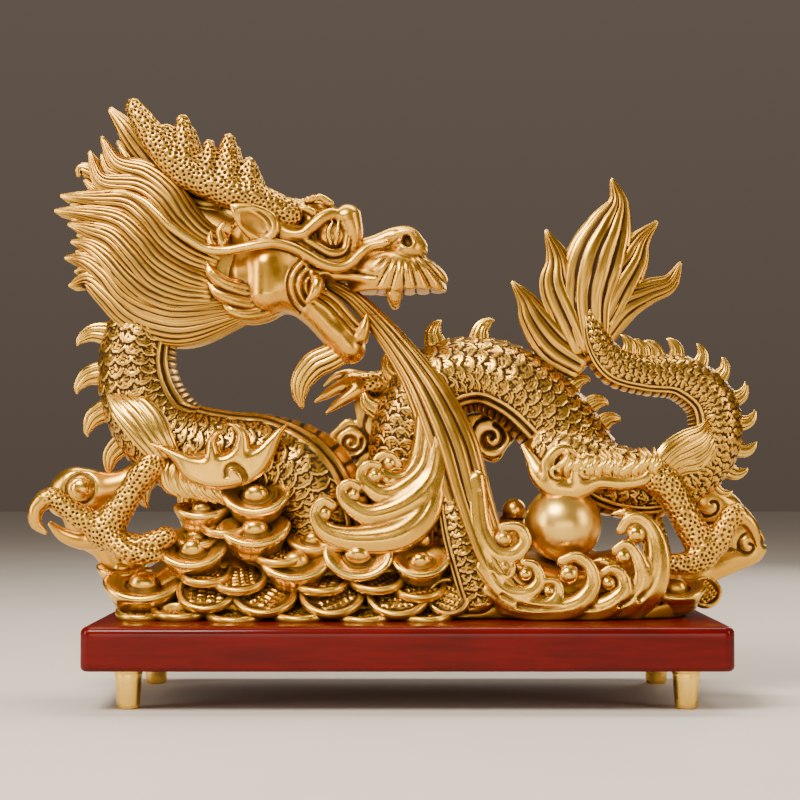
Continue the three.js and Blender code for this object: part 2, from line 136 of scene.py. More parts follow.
# %% Make a piece from arrays
def thin_out(thing, keep):
    """Merges faces where the skin is flattest, until the share `keep` of them is left."""
    fewer = thing.modifiers.new("fewer faces", "DECIMATE")
    fewer.ratio = keep
    full = thing.data
    thing.data = bpy.data.meshes.new_from_object(thing.evaluated_get(bpy.context.evaluated_depsgraph_get()))
    thing.modifiers.clear()
    thing.data.name = full.name
    bpy.data.meshes.remove(full)


def make_piece(name, points, quads=(), tris=(), measured=True, keep=1.0):
    """A smooth mesh in the scene. `keep` is the share of its faces that stay once it is measured."""
    quads = np.asarray(quads, np.int32).reshape(-1, 4)
    tris = np.asarray(tris, np.int32).reshape(-1, 3)
    corners = np.concatenate([quads.ravel(), tris.ravel()])
    sizes = np.concatenate([np.full(len(quads), 4), np.full(len(tris), 3)])
    starts = np.concatenate([[0], np.cumsum(sizes)[:-1]])
    mesh = bpy.data.meshes.new(name)
    mesh.vertices.add(len(points))
    mesh.vertices.foreach_set("co", (HOME + np.asarray(points, float) * MM).astype(np.float32).ravel())
    mesh.loops.add(len(corners))
    mesh.loops.foreach_set("vertex_index", corners.astype(np.int32))
    mesh.polygons.add(len(sizes))
    mesh.polygons.foreach_set("loop_start", starts.astype(np.int32))
    mesh.update(calc_edges=True)
    mesh.shade_smooth()
    if measured:
        measure_hollows(mesh)
    thing = bpy.data.objects.new(name, mesh)
    bpy.context.scene.collection.objects.link(thing)
    if keep < 1:
        thin_out(thing, keep)
    thing.data.calc_loop_triangles()
    print(f"{name}: {len(thing.data.loop_triangles)} triangles")
    return thing


class Heap:
    """Several separate skins kept in one pile, to become one piece."""

    def __init__(self):
        self.points, self.quads, self.tris, self.size = [], [], [], 0

    def add(self, points, quads=(), tris=()):
        self.points.append(np.asarray(points, float))
        self.quads.append(np.asarray(quads, int).reshape(-1, 4) + self.size)
        self.tris.append(np.asarray(tris, int).reshape(-1, 3) + self.size)
        self.size += len(points)

    def piece(self, name, keep=1.0):
        return make_piece(name, np.concatenate(self.points), np.concatenate(self.quads),
                          np.concatenate(self.tris), keep=keep)


print("an empty heap holds", Heap().size, "points")

# %% [markdown]
# ## A skin swept along a line
# A body, a lock of hair or a stream of water is a section carried along a smooth line. The line goes
# through a few stations, each a place and a radius. The section turns with the line but keeps one side
# facing back, so it never twists. Blender's curve bevel could carry a section too, but only a fixed one.
# Here a relief function may push each point in or out, and so scales, grooves and flutes are real shape.
# %% Smooth lines
def smooth_line(stations, spacing):
    """Points every `spacing` mm on a Catmull-Rom curve through rows of numbers that start with x, y, z."""
    rows = np.asarray(stations, float)
    padded = np.vstack([2 * rows[0] - rows[1], rows, 2 * rows[-1] - rows[-2]])
    t = np.linspace(0, 1, 40, endpoint=False)[:, None]
    parts = []
    for a, b, c, d in zip(padded[:-3], padded[1:-2], padded[2:-1], padded[3:]):
        parts.append(0.5 * (2 * b + (c - a) * t + (2 * a - 5 * b + 4 * c - d) * t ** 2
                            + (3 * b - a - 3 * c + d) * t ** 3))
    dense = np.vstack(parts + [rows[-1:]])
    run = np.concatenate([[0], np.cumsum(np.linalg.norm(np.diff(dense[:, :3], axis=0), axis=1))])
    count = max(int(run[-1] / spacing) + 1, 4)
    even = np.linspace(0, run[-1], count)
    return np.stack([np.interp(even, run, column) for column in dense.T], axis=1), even


def axes_along(line):
    """At each point of a line: the way along it, the way to the back, and the way across."""
    along = np.gradient(line, axis=0)
    along /= np.linalg.norm(along, axis=1)[:, None] + 1e-9
    back = np.array([0.0, 1.0, 0.0]) - along * along[:, 1:2]
    back /= np.linalg.norm(back, axis=1)[:, None] + 1e-9
    return along, back, np.cross(along, back)


print("a test line:", len(smooth_line([[0, 0, 0, 1], [10, 0, 0, 1]], 1.0)[0]), "points")

# %% Swept skins
def grid_faces(rows, columns):
    """Quads of a closed tube grid, wound so that they face out, and the two end fans' triangles."""
    first = np.arange(rows - 1)[:, None] * columns
    this = np.arange(columns)[None, :]
    following = (this + 1) % columns
    quads = np.stack([first + this, first + columns + this, first + columns + following, first + following],
                     axis=-1)
    ring = np.arange(columns)
    after = (ring + 1) % columns
    head = np.full(columns, rows * columns)
    tail = np.full(columns, rows * columns + 1)
    last = (rows - 1) * columns
    tris = np.vstack([np.stack([head, ring, after], axis=1),
                      np.stack([tail, last + after, last + ring], axis=1)])
    return quads.reshape(-1, 4), tris


def swept(stations, spacing, angles, flat=1.0, relief=None, roll=0.0, ends=(0.6, 0.6)):
    """A closed skin along the stations. Angle 0 faces the front and a quarter turn faces `across`.

    `flat` thins it front to back, `roll` turns the flat section, `relief(run, angle, radius)` gives
    millimetres to push out, and `ends` say how far the two end caps bulge, in radii."""
    data, run = smooth_line(stations, spacing)
    line, radius = data[:, :3], np.maximum(data[:, 3], 0.15)
    along, back, across = axes_along(line)
    push = relief(run[:, None], angles[None, :], radius[:, None]) if relief else 0.0
    size = radius[:, None] + push
    side = np.sin(angles)[None, :] * size
    front = -np.cos(angles)[None, :] * size * flat
    turned_side = side * math.cos(roll) - front * math.sin(roll)
    turned_front = side * math.sin(roll) + front * math.cos(roll)
    points = (line[:, None, :] + across[:, None, :] * turned_side[..., None]
              + back[:, None, :] * turned_front[..., None])
    rows, columns = len(line), len(angles)
    quads, tris = grid_faces(rows, columns)
    caps = [line[0] - along[0] * radius[0] * ends[0], line[-1] + along[-1] * radius[-1] * ends[1]]
    return np.vstack([points.reshape(-1, 3), caps]), quads, tris


def even_angles(count):
    return np.linspace(0, 2 * math.pi, count, endpoint=False)


def fine_front_angles(radius, fine, coarse):
    """Angles all round a section, closer together on the side that faces the front."""
    front = int(math.pi * radius / fine)
    back = int(math.pi * radius / coarse)
    half = math.pi / 2
    return np.concatenate([np.linspace(-half, half, front, endpoint=False),
                           np.linspace(half, 3 * half, back, endpoint=False)])


print("angles round a test section:", len(fine_front_angles(10, 1, 2)))

# %% [markdown]
# ## Colours and nodes
# Colours are written as screens show them, because that is how a paint chart gives them, and one function
# turns them into the linear values that a renderer works in. A material is a tree of nodes. They could be
# laid out by hand in the editor, but one small helper that adds a node with its settings and links keeps
# the whole recipe readable.
# %% Colour and node helpers
def linear(hex_colour):
    """A colour as screens show it, turned into the linear values that a renderer works in."""
    parts = [int(hex_colour[i:i + 2], 16) / 255 for i in (1, 3, 5)]
    return [p / 12.92 if p <= 0.04045 else ((p + 0.055) / 1.055) ** 2.4 for p in parts] + [1.0]


def add_node(tree, kind, settings=None, links=None):
    """Adds a node, sets its properties and sockets by name or number, and links its inputs."""
    node = tree.nodes.new(kind)
    for key, value in (settings or {}).items():
        if isinstance(key, str) and hasattr(node, key):
            setattr(node, key, value)
        else:
            node.inputs[key].default_value = value
    for key, source in (links or {}).items():
        tree.links.new(source, node.inputs[key])
    return node


def new_material(name):
    material = bpy.data.materials.new(name)
    material.use_nodes = True
    tree = material.node_tree
    tree.nodes.clear()
    return material, tree


def finish_material(tree, shader):
    add_node(tree, "ShaderNodeOutputMaterial", links={"Surface": shader.outputs[0]})


print("mid grey in linear light:", round(linear("#808080")[0], 3))

# %% [markdown]
# ## Light and floor
# Brass only looks like brass when it has something to reflect. A sun lamp would give it hard white spots,
# so it stands among soft boxes: the key above the front left, a fill at the left, a weaker box at the
# right, a low card in front that lights the board's edge and the coins, a strip overhead and one box
# behind. The room is warm and darkens toward the ground. The floor is a plain pale sheet.
# %% Soft boxes
def soft_box(name, place, size, aim_height, power, colour):
    """An area light at `place` that faces the ornament's middle."""
    lamp = bpy.data.lights.new(name, "AREA")
    lamp.shape = "RECTANGLE"
    lamp.size, lamp.size_y = size
    lamp.energy = power
    lamp.color = linear(colour)[:3]
    thing = bpy.data.objects.new(name, lamp)
    thing.location = place
    direction = HOME - np.array(place) + np.array([0, 0, aim_height])
    spin = math.atan2(direction[1], direction[0]) - math.pi / 2
    lift = math.atan2(direction[2], math.hypot(direction[0], direction[1]))
    thing.rotation_euler = (math.pi / 2 + lift, 0, spin)
    bpy.context.scene.collection.objects.link(thing)


# Name, place and width and height in metres, height it is aimed at, watts, colour.
SOFT_BOXES = [
    ("key_box", (-0.55, -0.9, 1.15), (0.6, 0.45), 0.13, 34, "#FFF4E4"),
    ("fill_box", (-1.3, -0.55, 0.45), (0.35, 0.8), 0.13, 10, "#FFF0DC"),
    ("low_card", (0.0, -1.5, 0.12), (1.4, 0.22), 0.06, 5, "#FFEFD8"),
    ("side_box", (1.25, -0.7, 0.5), (0.35, 0.8), 0.13, 8, "#FFE8CC"),
    ("top_strip", (0.05, 0.2, 1.25), (1.2, 0.3), 0.1, 16, "#FFF4E4"),
    ("rim_box", (0.8, 1.1, 0.7), (0.4, 0.7), 0.15, 7, "#FFF4E4")]
for box in SOFT_BOXES:
    soft_box(*box)

# %% The room's warm glow
ROOM_BELOW, ROOM_ABOVE, ROOM_STRENGTH = "#3E2E22", "#8F8276", 0.7
world = bpy.data.worlds.new("studio")
bpy.context.scene.world = world
world.use_nodes = True
world.node_tree.nodes.clear()
spot = add_node(world.node_tree, "ShaderNodeTexCoord")
height = add_node(world.node_tree, "ShaderNodeSeparateXYZ", links={0: spot.outputs["Generated"]})
share = add_node(world.node_tree, "ShaderNodeMapRange", {"From Min": -0.6, "From Max": 0.9},
                 {"Value": height.outputs["Z"]})
room = add_node(world.node_tree, "ShaderNodeMix",
                {"data_type": "RGBA", "A": linear(ROOM_BELOW), "B": linear(ROOM_ABOVE)},
                {"Factor": share.outputs[0]})
glow = add_node(world.node_tree, "ShaderNodeBackground", {"Strength": ROOM_STRENGTH},
                {"Color": room.outputs["Result"]})
add_node(world.node_tree, "ShaderNodeOutputWorld", links={"Surface": glow.outputs[0]})
print("room nodes:", len(world.node_tree.nodes))

# %% The pale floor
# Matt card: it gives the eye nothing but a soft shadow. Its mottling is far bigger than a card's own
# fibres, which wouldn't show.
FLOOR_SIZE = 9
MOTTLE_MM = 100
pale_card, tree = new_material("pale card")
speckle = add_node(tree, "ShaderNodeTexNoise", {"Scale": FLOOR_SIZE / (MOTTLE_MM * MM), "Detail": 3.0})
tone = add_node(tree, "ShaderNodeMix", {"data_type": "RGBA", "A": linear("#CFC9C2"), "B": linear("#D8D3CC")},
                {"Factor": speckle.outputs["Fac"]})
card = add_node(tree, "ShaderNodeBsdfPrincipled", {"Roughness": 0.7, "Specular IOR Level": 0.3},
                {"Base Color": tone.outputs["Result"]})
finish_material(tree, card)

bpy.ops.mesh.primitive_plane_add(size=FLOOR_SIZE, location=(0, 0, cad_box[0][2]))
floor = bpy.context.object
floor.name = "floor"
floor.data.materials.append(pale_card)
print("floor at", round(floor.location.z, 3))

# %% [markdown]
# ## Antique cast brass
# The casting is yellow brass, cast, chased, patinated dark and then rubbed back. The eye sees pale gold on
# the ridges, warm gold on the flats and grey-brown dirt in the hollows. Brass has no colour of its own apart
# from its reflection, so it is fully metallic with a golden base colour. The dirt is duller and less
# metallic. It could be painted on by hand, but the measured hollows place it on every scale at once. The
# shader's own crevice test also lays the same dark colour into the deep corners: that part is painted
# shade, where the nearby walls shut out the light.
# %% How brass, dirt and rubbing are laid
# How many go in a metre. Patina comes in blotches about 18 mm apart. Casting sand leaves grains of 0.2 mm,
# which wouldn't show, so they are drawn as coarse as 0.7 mm.
BLOTCHES_IN_METRE, GRAINS_IN_METRE = 55.0, 1400.0
CREVICE_MM = 14  # how near the walls are that shut out a crevice's light
# How deep in mm a spot is where the patina starts and where it is full; and how open to the room a spot is
# where the painted shade of the deep corners starts and where it is full.
GROOVE = {"From Min": 0.01, "From Max": 0.1}
VALLEY = {"From Min": 0.2, "From Max": 0.85}
PAINTED_SHADE_RANGE = {"From Min": 0.6, "From Max": 0.15, "To Max": 0.85}
# How high in mm a ridge stands where rubbing starts to brighten it and where it is bright.
RUBBED = {"From Min": 0.02, "From Max": -0.22}
BLOTCHES = {"From Min": 0.3, "From Max": 0.7}
DIRT_ROUGHNESS, DIRT_METALLIC = 0.62, 0.72


def brass(name, ridge, flat, patina_shade_colour, roughness, patina_shade_amount=1.0, grain=0.25):
    """Brass with the three colours of its ridges, its flats, and its patina and painted shade, and `grain` as
    the strength of its sand.
    """
    material, tree = new_material(name)
    near = add_node(tree, "ShaderNodeAttribute", {"attribute_name": "hollow"})
    far = add_node(tree, "ShaderNodeAttribute", {"attribute_name": "valley"})
    place = add_node(tree, "ShaderNodeTexCoord")
    patchy = add_node(tree, "ShaderNodeTexNoise",
                      {"Scale": BLOTCHES_IN_METRE, "Detail": 4.0, "Roughness": 0.6},
                      {"Vector": place.outputs["Object"]})
    # Painted shade: the crevice test darkens the colour toward the dark colour where nearby walls shut out
    # light.
    crevice = add_node(tree, "ShaderNodeAmbientOcclusion", {"samples": 6, "Distance": CREVICE_MM * MM})
    in_groove = add_node(tree, "ShaderNodeMapRange", GROOVE, {"Value": near.outputs["Fac"]})
    in_valley = add_node(tree, "ShaderNodeMapRange", VALLEY, {"Value": far.outputs["Fac"]})
    painted_shade = add_node(tree, "ShaderNodeMapRange", PAINTED_SHADE_RANGE, {"Value": crevice.outputs["AO"]})
    either = add_node(tree, "ShaderNodeMath", {"operation": "MAXIMUM"},
                      {0: in_groove.outputs[0], 1: in_valley.outputs[0]})
    # The patina of the hollows and the painted shade of the deep corners are joined into one share of the dark
    # colour.
    patina_with_shade_mask = add_node(tree, "ShaderNodeMath", {"operation": "MAXIMUM"},
                      {0: either.outputs[0], 1: painted_shade.outputs[0]})
    uneven = add_node(tree, "ShaderNodeMapRange",
                      {**BLOTCHES, "To Min": 0.75 * patina_shade_amount, "To Max": 1.15 * patina_shade_amount},
                      {"Value": patchy.outputs["Fac"]})
    patina_and_shade_share = add_node(tree, "ShaderNodeMath", {"operation": "MULTIPLY", "use_clamp": True},
                     {0: patina_with_shade_mask.outputs[0], 1: uneven.outputs[0]})
    rubbed = add_node(tree, "ShaderNodeMapRange", RUBBED, {"Value": near.outputs["Fac"]})
    metal = add_node(tree, "ShaderNodeMix", {"data_type": "RGBA", "A": linear(flat), "B": linear(ridge)},
                     {"Factor": rubbed.outputs[0]})
    colour = add_node(tree, "ShaderNodeMix", {"data_type": "RGBA", "B": linear(patina_shade_colour)},
                      {"Factor": patina_and_shade_share.outputs[0], "A": metal.outputs["Result"]})
    dull = add_node(tree, "ShaderNodeMapRange", {"To Min": roughness, "To Max": DIRT_ROUGHNESS},
                    {"Value": patina_and_shade_share.outputs[0]})
    smear = add_node(tree, "ShaderNodeMapRange", {**BLOTCHES, "To Min": -0.04, "To Max": 0.06},
                     {"Value": patchy.outputs["Fac"]})
    duller = add_node(tree, "ShaderNodeMath", {"operation": "ADD"}, {0: dull.outputs[0], 1: smear.outputs[0]})
    metallic = add_node(tree, "ShaderNodeMapRange", {"To Min": 1.0, "To Max": DIRT_METALLIC},
                        {"Value": patina_and_shade_share.outputs[0]})
    fine = add_node(tree, "ShaderNodeTexNoise", {"Scale": GRAINS_IN_METRE, "Detail": 2.0},
                    {"Vector": place.outputs["Object"]})
    bump = add_node(tree, "ShaderNodeBump", {"Strength": grain, "Distance": 0.00012},
                    {"Height": fine.outputs["Fac"]})
    shader = add_node(tree, "ShaderNodeBsdfPrincipled", links={
        "Base Color": colour.outputs["Result"], "Roughness": duller.outputs[0],
        "Metallic": metallic.outputs[0], "Normal": bump.outputs[0]})
    finish_material(tree, shader)
    return material


print("the dirt's blotches are", round(1 / BLOTCHES_IN_METRE / MM), "mm apart")

# %% Five finishes of one brass
# In each finish, the third colour is both patina in the hollows and painted shade in the deep corners.
# Antique cast brass, straight from the mould and patinated: warm gold with brown in the hollows.
antique_brass = brass("antique cast brass", "#F0C24E", "#DBA135", "#3E2809", 0.29)
# Chased by hand, scale by scale, and patinated darker: thin bright rims round brown-gold fields.
scaled_brass = brass("chased and patinated brass", "#EFBF50", "#BE8A2C", "#33210A", 0.3, patina_shade_amount=1.1)
# Cast in long grooves like combed hair, which hold patina; its darker flats and heavier dark colour are partly
# that patina and partly painted shade for the deep shadows among the locks: bright strands between dark lines.
combed_brass = brass("combed cast brass", "#EBBB4C", "#A67426", "#2E1C08", 0.3, patina_shade_amount=1.2)
# Rubbed back with a soft wheel where hands and cloths reach: smooth, pale and glossy.
rubbed_brass = brass("rubbed cast brass", "#F5CA5A", "#E6B03E", "#4A300C", 0.26, patina_shade_amount=0.9)
# Polished brass with hardly any patina: the palest yellow, with clear soft reflections.
bright_brass = brass("polished brass", "#FFDE72", "#FFD264", "#6A451A", 0.27, patina_shade_amount=0.35, grain=0.1)
print("materials:", [m.name for m in bpy.data.materials])


# %% Finish a piece and set it in the frame
def show(thing, material, node="dragon_casting"):
    """Gives a piece its finish, hangs it under the root body and hides the frame's solid that it stands for.
    Nothing on it moves.
    """
    thing.data.materials.append(material)
    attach(thing, "root")
    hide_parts(node)


# %% [markdown]
# ## Scales
# A dragon's scales overlap like roof tiles, with the free edge toward the tail. Each one is a disc with a
# raised double rim and a sunken field that holds short strokes, like a coin with no lettering. Hundreds of
# separate discs would never follow the bends. Instead a rule gives the height at any point of the skin:
# that of the topmost disc over it, where discs nearer the head lie on top.
# %% The height of a scaled skin
# All in scale widths: how far apart rows are, how big a disc is, and how high its parts stand.
ROW_PITCH, DISC = 0.6, 0.62
RIM_HEIGHT, INNER_RIM_HEIGHT, STROKE_HEIGHT, TILT_HEIGHT = 0.075, 0.045, 0.05, 0.075
BARS = 3.4  # short strokes across a disc


def steady_noise(a, b, salt=0.0):
    """A repeatable pseudo-random value from 0 to 1 for each pair of whole numbers."""
    return np.modf(np.abs(np.sin(a * 12.9898 + b * 78.233 + salt * 37.719)) * 43758.5453)[0]


def scale_height(down, across, columns):
    """Height in scale widths, for `down` the body in widths and `across` in columns, which wrap round."""
    height = np.full(np.broadcast(down, across).shape, -0.1)
    found = np.zeros(height.shape, bool)
    first = np.ceil((down - DISC) / ROW_PITCH)
    for step in range(3):
        row = first + step
        shift = 0.5 * np.mod(row, 2)
        column = np.round(across - shift) + shift
        x = (across - column) / DISC
        y = (down - row * ROW_PITCH) / DISC
        reach = np.sqrt(x ** 2 + y ** 2)
        here = (reach < 1.0) & ~found
        luck = steady_noise(row, np.mod(column, columns))
        rim = (np.exp(-((reach - 0.88) / 0.08) ** 2) * RIM_HEIGHT
               + np.exp(-((reach - 0.64) / 0.06) ** 2) * INNER_RIM_HEIGHT)
        field = np.clip((0.56 - reach) / 0.1, 0, 1)
        slant = (luck - 0.5) * 0.9
        u = x * np.cos(slant) - y * np.sin(slant)
        v = x * np.sin(slant) + y * np.cos(slant)
        bar = v * BARS + luck * 2
        bars = np.exp(-((np.mod(bar, 1) - 0.5) / 0.2) ** 2)
        post = np.exp(-((u - 0.3 * (luck - 0.5)) / 0.1) ** 2)
        open_side = np.where(np.mod(np.floor(bar) + np.round(luck * 7), 3) < 1, u > -0.1, True)
        stroke = np.maximum(bars * open_side, post) * field * STROKE_HEIGHT
        lift = TILT_HEIGHT * y
        edge = np.clip((1.0 - reach) / 0.07, 0, 1)
        value = -0.05 + (lift + rim + stroke + 0.02) * edge
        height = np.where(here, value, height)
        found |= here
    return height


print("heights down one scale:", scale_height(np.linspace(0, 0.6, 4), np.zeros(4), 12).round(3))

# %% [markdown]
# ## The coils
# Three swept skins make the body: the neck and front coil, the tall coil behind the water, and the tail.
# Scales cover the outer side. The inner side has broad belly plates, and two smooth ribs run between. All
# of that is relief on one skin, so nothing gapes where the body bends. Skin near the eye gets a finer grid
# than the back.
# %% The lines of the coils
# Each station is x, y, z and radius.
NECK = [[-112, 2, 240, 12], [-119, 2, 236, 13], [-143, 2, 226, 15], [-166, 2, 211, 19], [-180, 2, 189, 24.5],
        [-183, 2, 164, 26.5], [-175, 3, 137, 29], [-155, 4, 115, 30.5], [-125, 4, 107, 31], [-94, 4, 103, 32],
        [-69, 4, 91, 34], [-58, 4, 64, 33], [-56, 4, 23, 31]]
REAR = [[-1, 14, 20, 24], [-1, 14, 49, 24], [-1, 16, 91, 25], [4, 16, 129, 27], [22, 15, 156, 27.5],
        [49, 12, 163, 25.5], [74, 8, 154, 26.5], [96, 6, 135, 27], [113, 5, 113, 26.5], [132, 5, 92, 23],
        [159, 6, 83, 19], [182, 6, 87, 18]]
TAIL = [[159, 6, 83, 18], [182, 6, 88, 18], [200, 6, 101, 18.5], [210, 5, 121, 18.5], [206, 5, 145, 17.5],
        [186, 3, 160, 15.5], [162, 1, 162, 13.5], [141, 0, 168, 13], [129, -1, 184, 10], [124, -2, 206, 5]]
THIGH = [[90, -4, 116, 18], [108, -12, 106, 21], [128, -18, 100, 18], [148, -22, 98, 14], [164, -24, 96, 11]]
for title, stations in (("neck", NECK), ("rear", REAR), ("tail", TAIL), ("thigh", THIGH)):
    print(title, "runs", smooth_line(stations, 1.0)[1][-1].round(), "mm")

# %% Scaled bodies
# Where the belly's parts end, in radians from its middle line, and how long a plate is in scale widths.
PLATES_END, RIBS_END, RIBS_AT, PLATE_LENGTH = 0.68, 1.1, (0.74, 0.98), 0.62


def scaled_skin(stations, columns, belly_side, fine=0.85, rows=0.95, lean=((0, 1), (0, 0))):
    """A swept skin with scales outside and belly plates on `belly_side`, which is 1 toward `across`.

    `lean` has runs in mm and how far the belly is turned to the back there, in radians.
    """
    radius = np.mean([s[3] for s in stations])
    width = 2 * math.pi * radius / columns

    def relief(run, angle, size):
        across = angle / (2 * math.pi) * columns
        scales = scale_height(run / width, across, columns) * width
        belly = belly_side * (math.pi / 2 + np.interp(run, *lean))
        turned = np.abs(np.mod(angle - belly + math.pi, 2 * math.pi) - math.pi)
        plate_phase = np.mod(run / (width * PLATE_LENGTH), 1)
        plates = 0.9 * np.sin(math.pi * plate_phase ** 0.7) - 0.5
        ribs = np.maximum(*(np.exp(-((turned - middle) / 0.075) ** 2) for middle in RIBS_AT))
        on_belly = np.clip((PLATES_END - turned) / 0.08, 0, 1)
        near_rib = np.clip((RIBS_END - turned) / 0.07, 0, 1)
        smooth = plates * on_belly + (1 - on_belly) * (1.7 * ribs - 0.4)
        return scales * (1 - near_rib) + smooth * near_rib

    return swept(stations, rows, fine_front_angles(radius, fine, 1.7), relief=relief)


neck = Heap()
neck.add(*scaled_skin(NECK, 14, 1, lean=((150, 175, 225, 262), (0.1, 0.45, 0.42, 0))))
show(neck.piece("neck_and_front_coil", 0.55), scaled_brass)
rear = Heap()
rear.add(*scaled_skin(REAR, 14, -1))
rear.add(*scaled_skin(THIGH, 10, -1))
show(rear.piece("rear_coil", 0.5), scaled_brass)
tail = Heap()
tail.add(*scaled_skin(TAIL, 12, 1, fine=0.8))
show(tail.piece("tail_coil", 0.75), scaled_brass)

# %% [markdown]
# ## Spines, hair and fin
# Locks of hair and the flames of the tail fin are tapering strands with deep grooves along them. Blender's
# hair would give loose fibres, but in a casting the strands are one solid lump. So they are swept like the
# bodies, with the grooves as relief. Each spine on the back is a short hooked lock.
# %% Grooved locks
def lock(stations, strands=4, depth=0.2, spacing=1.6, fine=1.0, flat=0.75, roll=0.0, salt=0):
    """A strand with ridges along it. `depth` is how deep the grooves cut, as a share of the radius."""
    widest = max(s[3] for s in stations)
    count = int(np.clip(2 * math.pi * widest / fine, 16, 84))

    def relief(run, angle, size):
        wander = 0.25 * np.sin(run / 14 + salt)
        ridge = np.abs(np.sin(angle * strands + wander + salt)) ** 0.75
        hairs = np.abs(np.sin(angle * strands * 3 + wander * 3))
        return size * (depth * (ridge - 0.75) + 0.18 * depth * hairs)

    return swept(stations, spacing, even_angles(count), flat=flat, relief=relief, roll=roll, ends=(0.2, 0.8))


print("a short lock has", len(lock([[0, 0, 0, 4], [10, 0, 0, 1]])[0]), "points")

# %% Spines along the back
def station_at(stations, share):
    """The place, radius, and ways along and across, at a share of a line's length."""
    rows, _ = smooth_line(stations, 1.0)
    step = int(np.clip(share, 0, 1) * (len(rows) - 1))
    along, _, across = axes_along(rows[:, :3])
    return rows[step, :3], rows[step, 3], along[step], across[step]


def spine_row(heap, stations, start, end, count, side, length, width, lean):
    """Hooked spines from one share of a body's length to another, that lean toward its far end."""
    for number, share in enumerate(np.linspace(start, end, count)):
        place, radius, along, across = station_at(stations, share)
        out = across * side
        root = place + out * (radius - 0.9 * width)
        knee = place + out * (radius + 0.42 * length) + along * 0.25 * lean
        tip = place + out * (radius + 0.86 * length) + along * lean
        end_point = place + out * (radius + 0.95 * length) + along * 1.55 * lean
        rows = [[*root, width], [*knee, 0.72 * width], [*tip, 0.36 * width], [*end_point, 0.4]]
        heap.add(*lock(rows, strands=4, depth=0.26, spacing=1.0, fine=0.9, flat=0.62, salt=number))


# Body, shares of its length, number of spines, side, and their length, width and lean in mm.
SPINES = [(NECK, 0.28, 0.56, 6, -1, 17, 8.5, 9), (REAR, 0.33, 0.51, 4, 1, 13, 8, 7),
          (REAR, 0.62, 0.76, 4, 1, 11, 7, 5), (TAIL, 0.2, 0.76, 11, -1, 10, 6, 6)]
spines = Heap()
for row in SPINES:
    spine_row(spines, *row)
show(spines.piece("back_spines", 0.42), rubbed_brass)

# %% Tail fin
FIN_FLAMES = [
    [[126, -1, 182, 12], [123, -1, 213, 17], [129, -1, 239, 20], [138, -1, 262, 15], [144, -1, 280, 7],
     [140, -1, 296, 1.2]],
    [[122, 0, 179, 12], [112, 0, 206, 15], [105, 0, 225, 14], [103, 0, 242, 8], [95, 0, 261, 1.2]],
    [[121, 2, 169, 11], [102, 2, 183, 14], [88, 2, 201, 11], [81, 2, 214, 6], [72, 2, 226, 1.2]],
    [[131, 1, 199, 12], [142, 1, 224, 15], [153, 1, 242, 12], [160, 1, 255, 6.5], [171, 1, 267, 1.2]],
    [[131, 2, 189, 10], [146, 2, 210, 12], [164, 2, 219, 8.5], [179, 2, 225, 6], [187, 2, 239, 1.2]]]
fin = Heap()
for number, flame in enumerate(FIN_FLAMES):
    fin.add(*lock(flame, strands=5, depth=0.24, spacing=1.2, fine=0.8, flat=0.42, salt=number))
show(fin.piece("tail_fin", 0.5), combed_brass)

# %% [markdown]
# ## Water stream
# The stream from the mouth is one broad band of parallel flutes that widens as it falls. A fluid
# simulation would give drops and splashes, but the carver drew water as flutes, so it is a swept skin with
# flutes as relief. A scaled strip of body shows under its edge.
# %% Fluted stream
STREAM = [[-54, 0, 225, 3.5], [-36, -2, 214, 5.5], [-15, -6, 192, 7.8], [4, -12, 166, 11],
          [17, -17, 143, 14.5], [29, -22, 114, 17.5], [37, -26, 86, 17], [46, -31, 58, 15.5],
          [56, -36, 34, 14], [70, -38, 18, 12], [90, -38, 12, 10], [112, -36, 10, 8]]


def flutes(run, angle, size):
    return size * 0.17 * (np.abs(np.sin(angle * 5.5 + 0.15 * np.sin(run / 30))) ** 0.8 - 0.7)


UNDER_STREAM = [[24, -16, 112, 8], [28, -22, 88, 11], [33, -27, 60, 13], [40, -30, 34, 14], [48, -30, 8, 14]]
stream = Heap()
stream.add(*scaled_skin(UNDER_STREAM, 8, -1))
stream.add(*swept(STREAM, 1.3, even_angles(132), flat=0.75, relief=flutes))
show(stream.piece("water_stream", 0.42), combed_brass)

# %% [markdown]
# ## Soft clay
# The head, paws, waves and clouds have no simple section, so they are modelled as clay. Metaballs or
# boolean modifiers could join lumps too, but metaballs lose thin bands and booleans leave sharp seams. So
# a grid of cells holds the distance to the surface, in mm and negative inside. Lumps and limbs are pressed
# on with a soft join, hollows are pressed in, and a mesh is laid over the result.
# %% A block of clay
FAR = 12.0  # mm: further than this from the surface, a distance doesn't matter
MARGIN = 4  # mm of room round a shape, so that its join has space


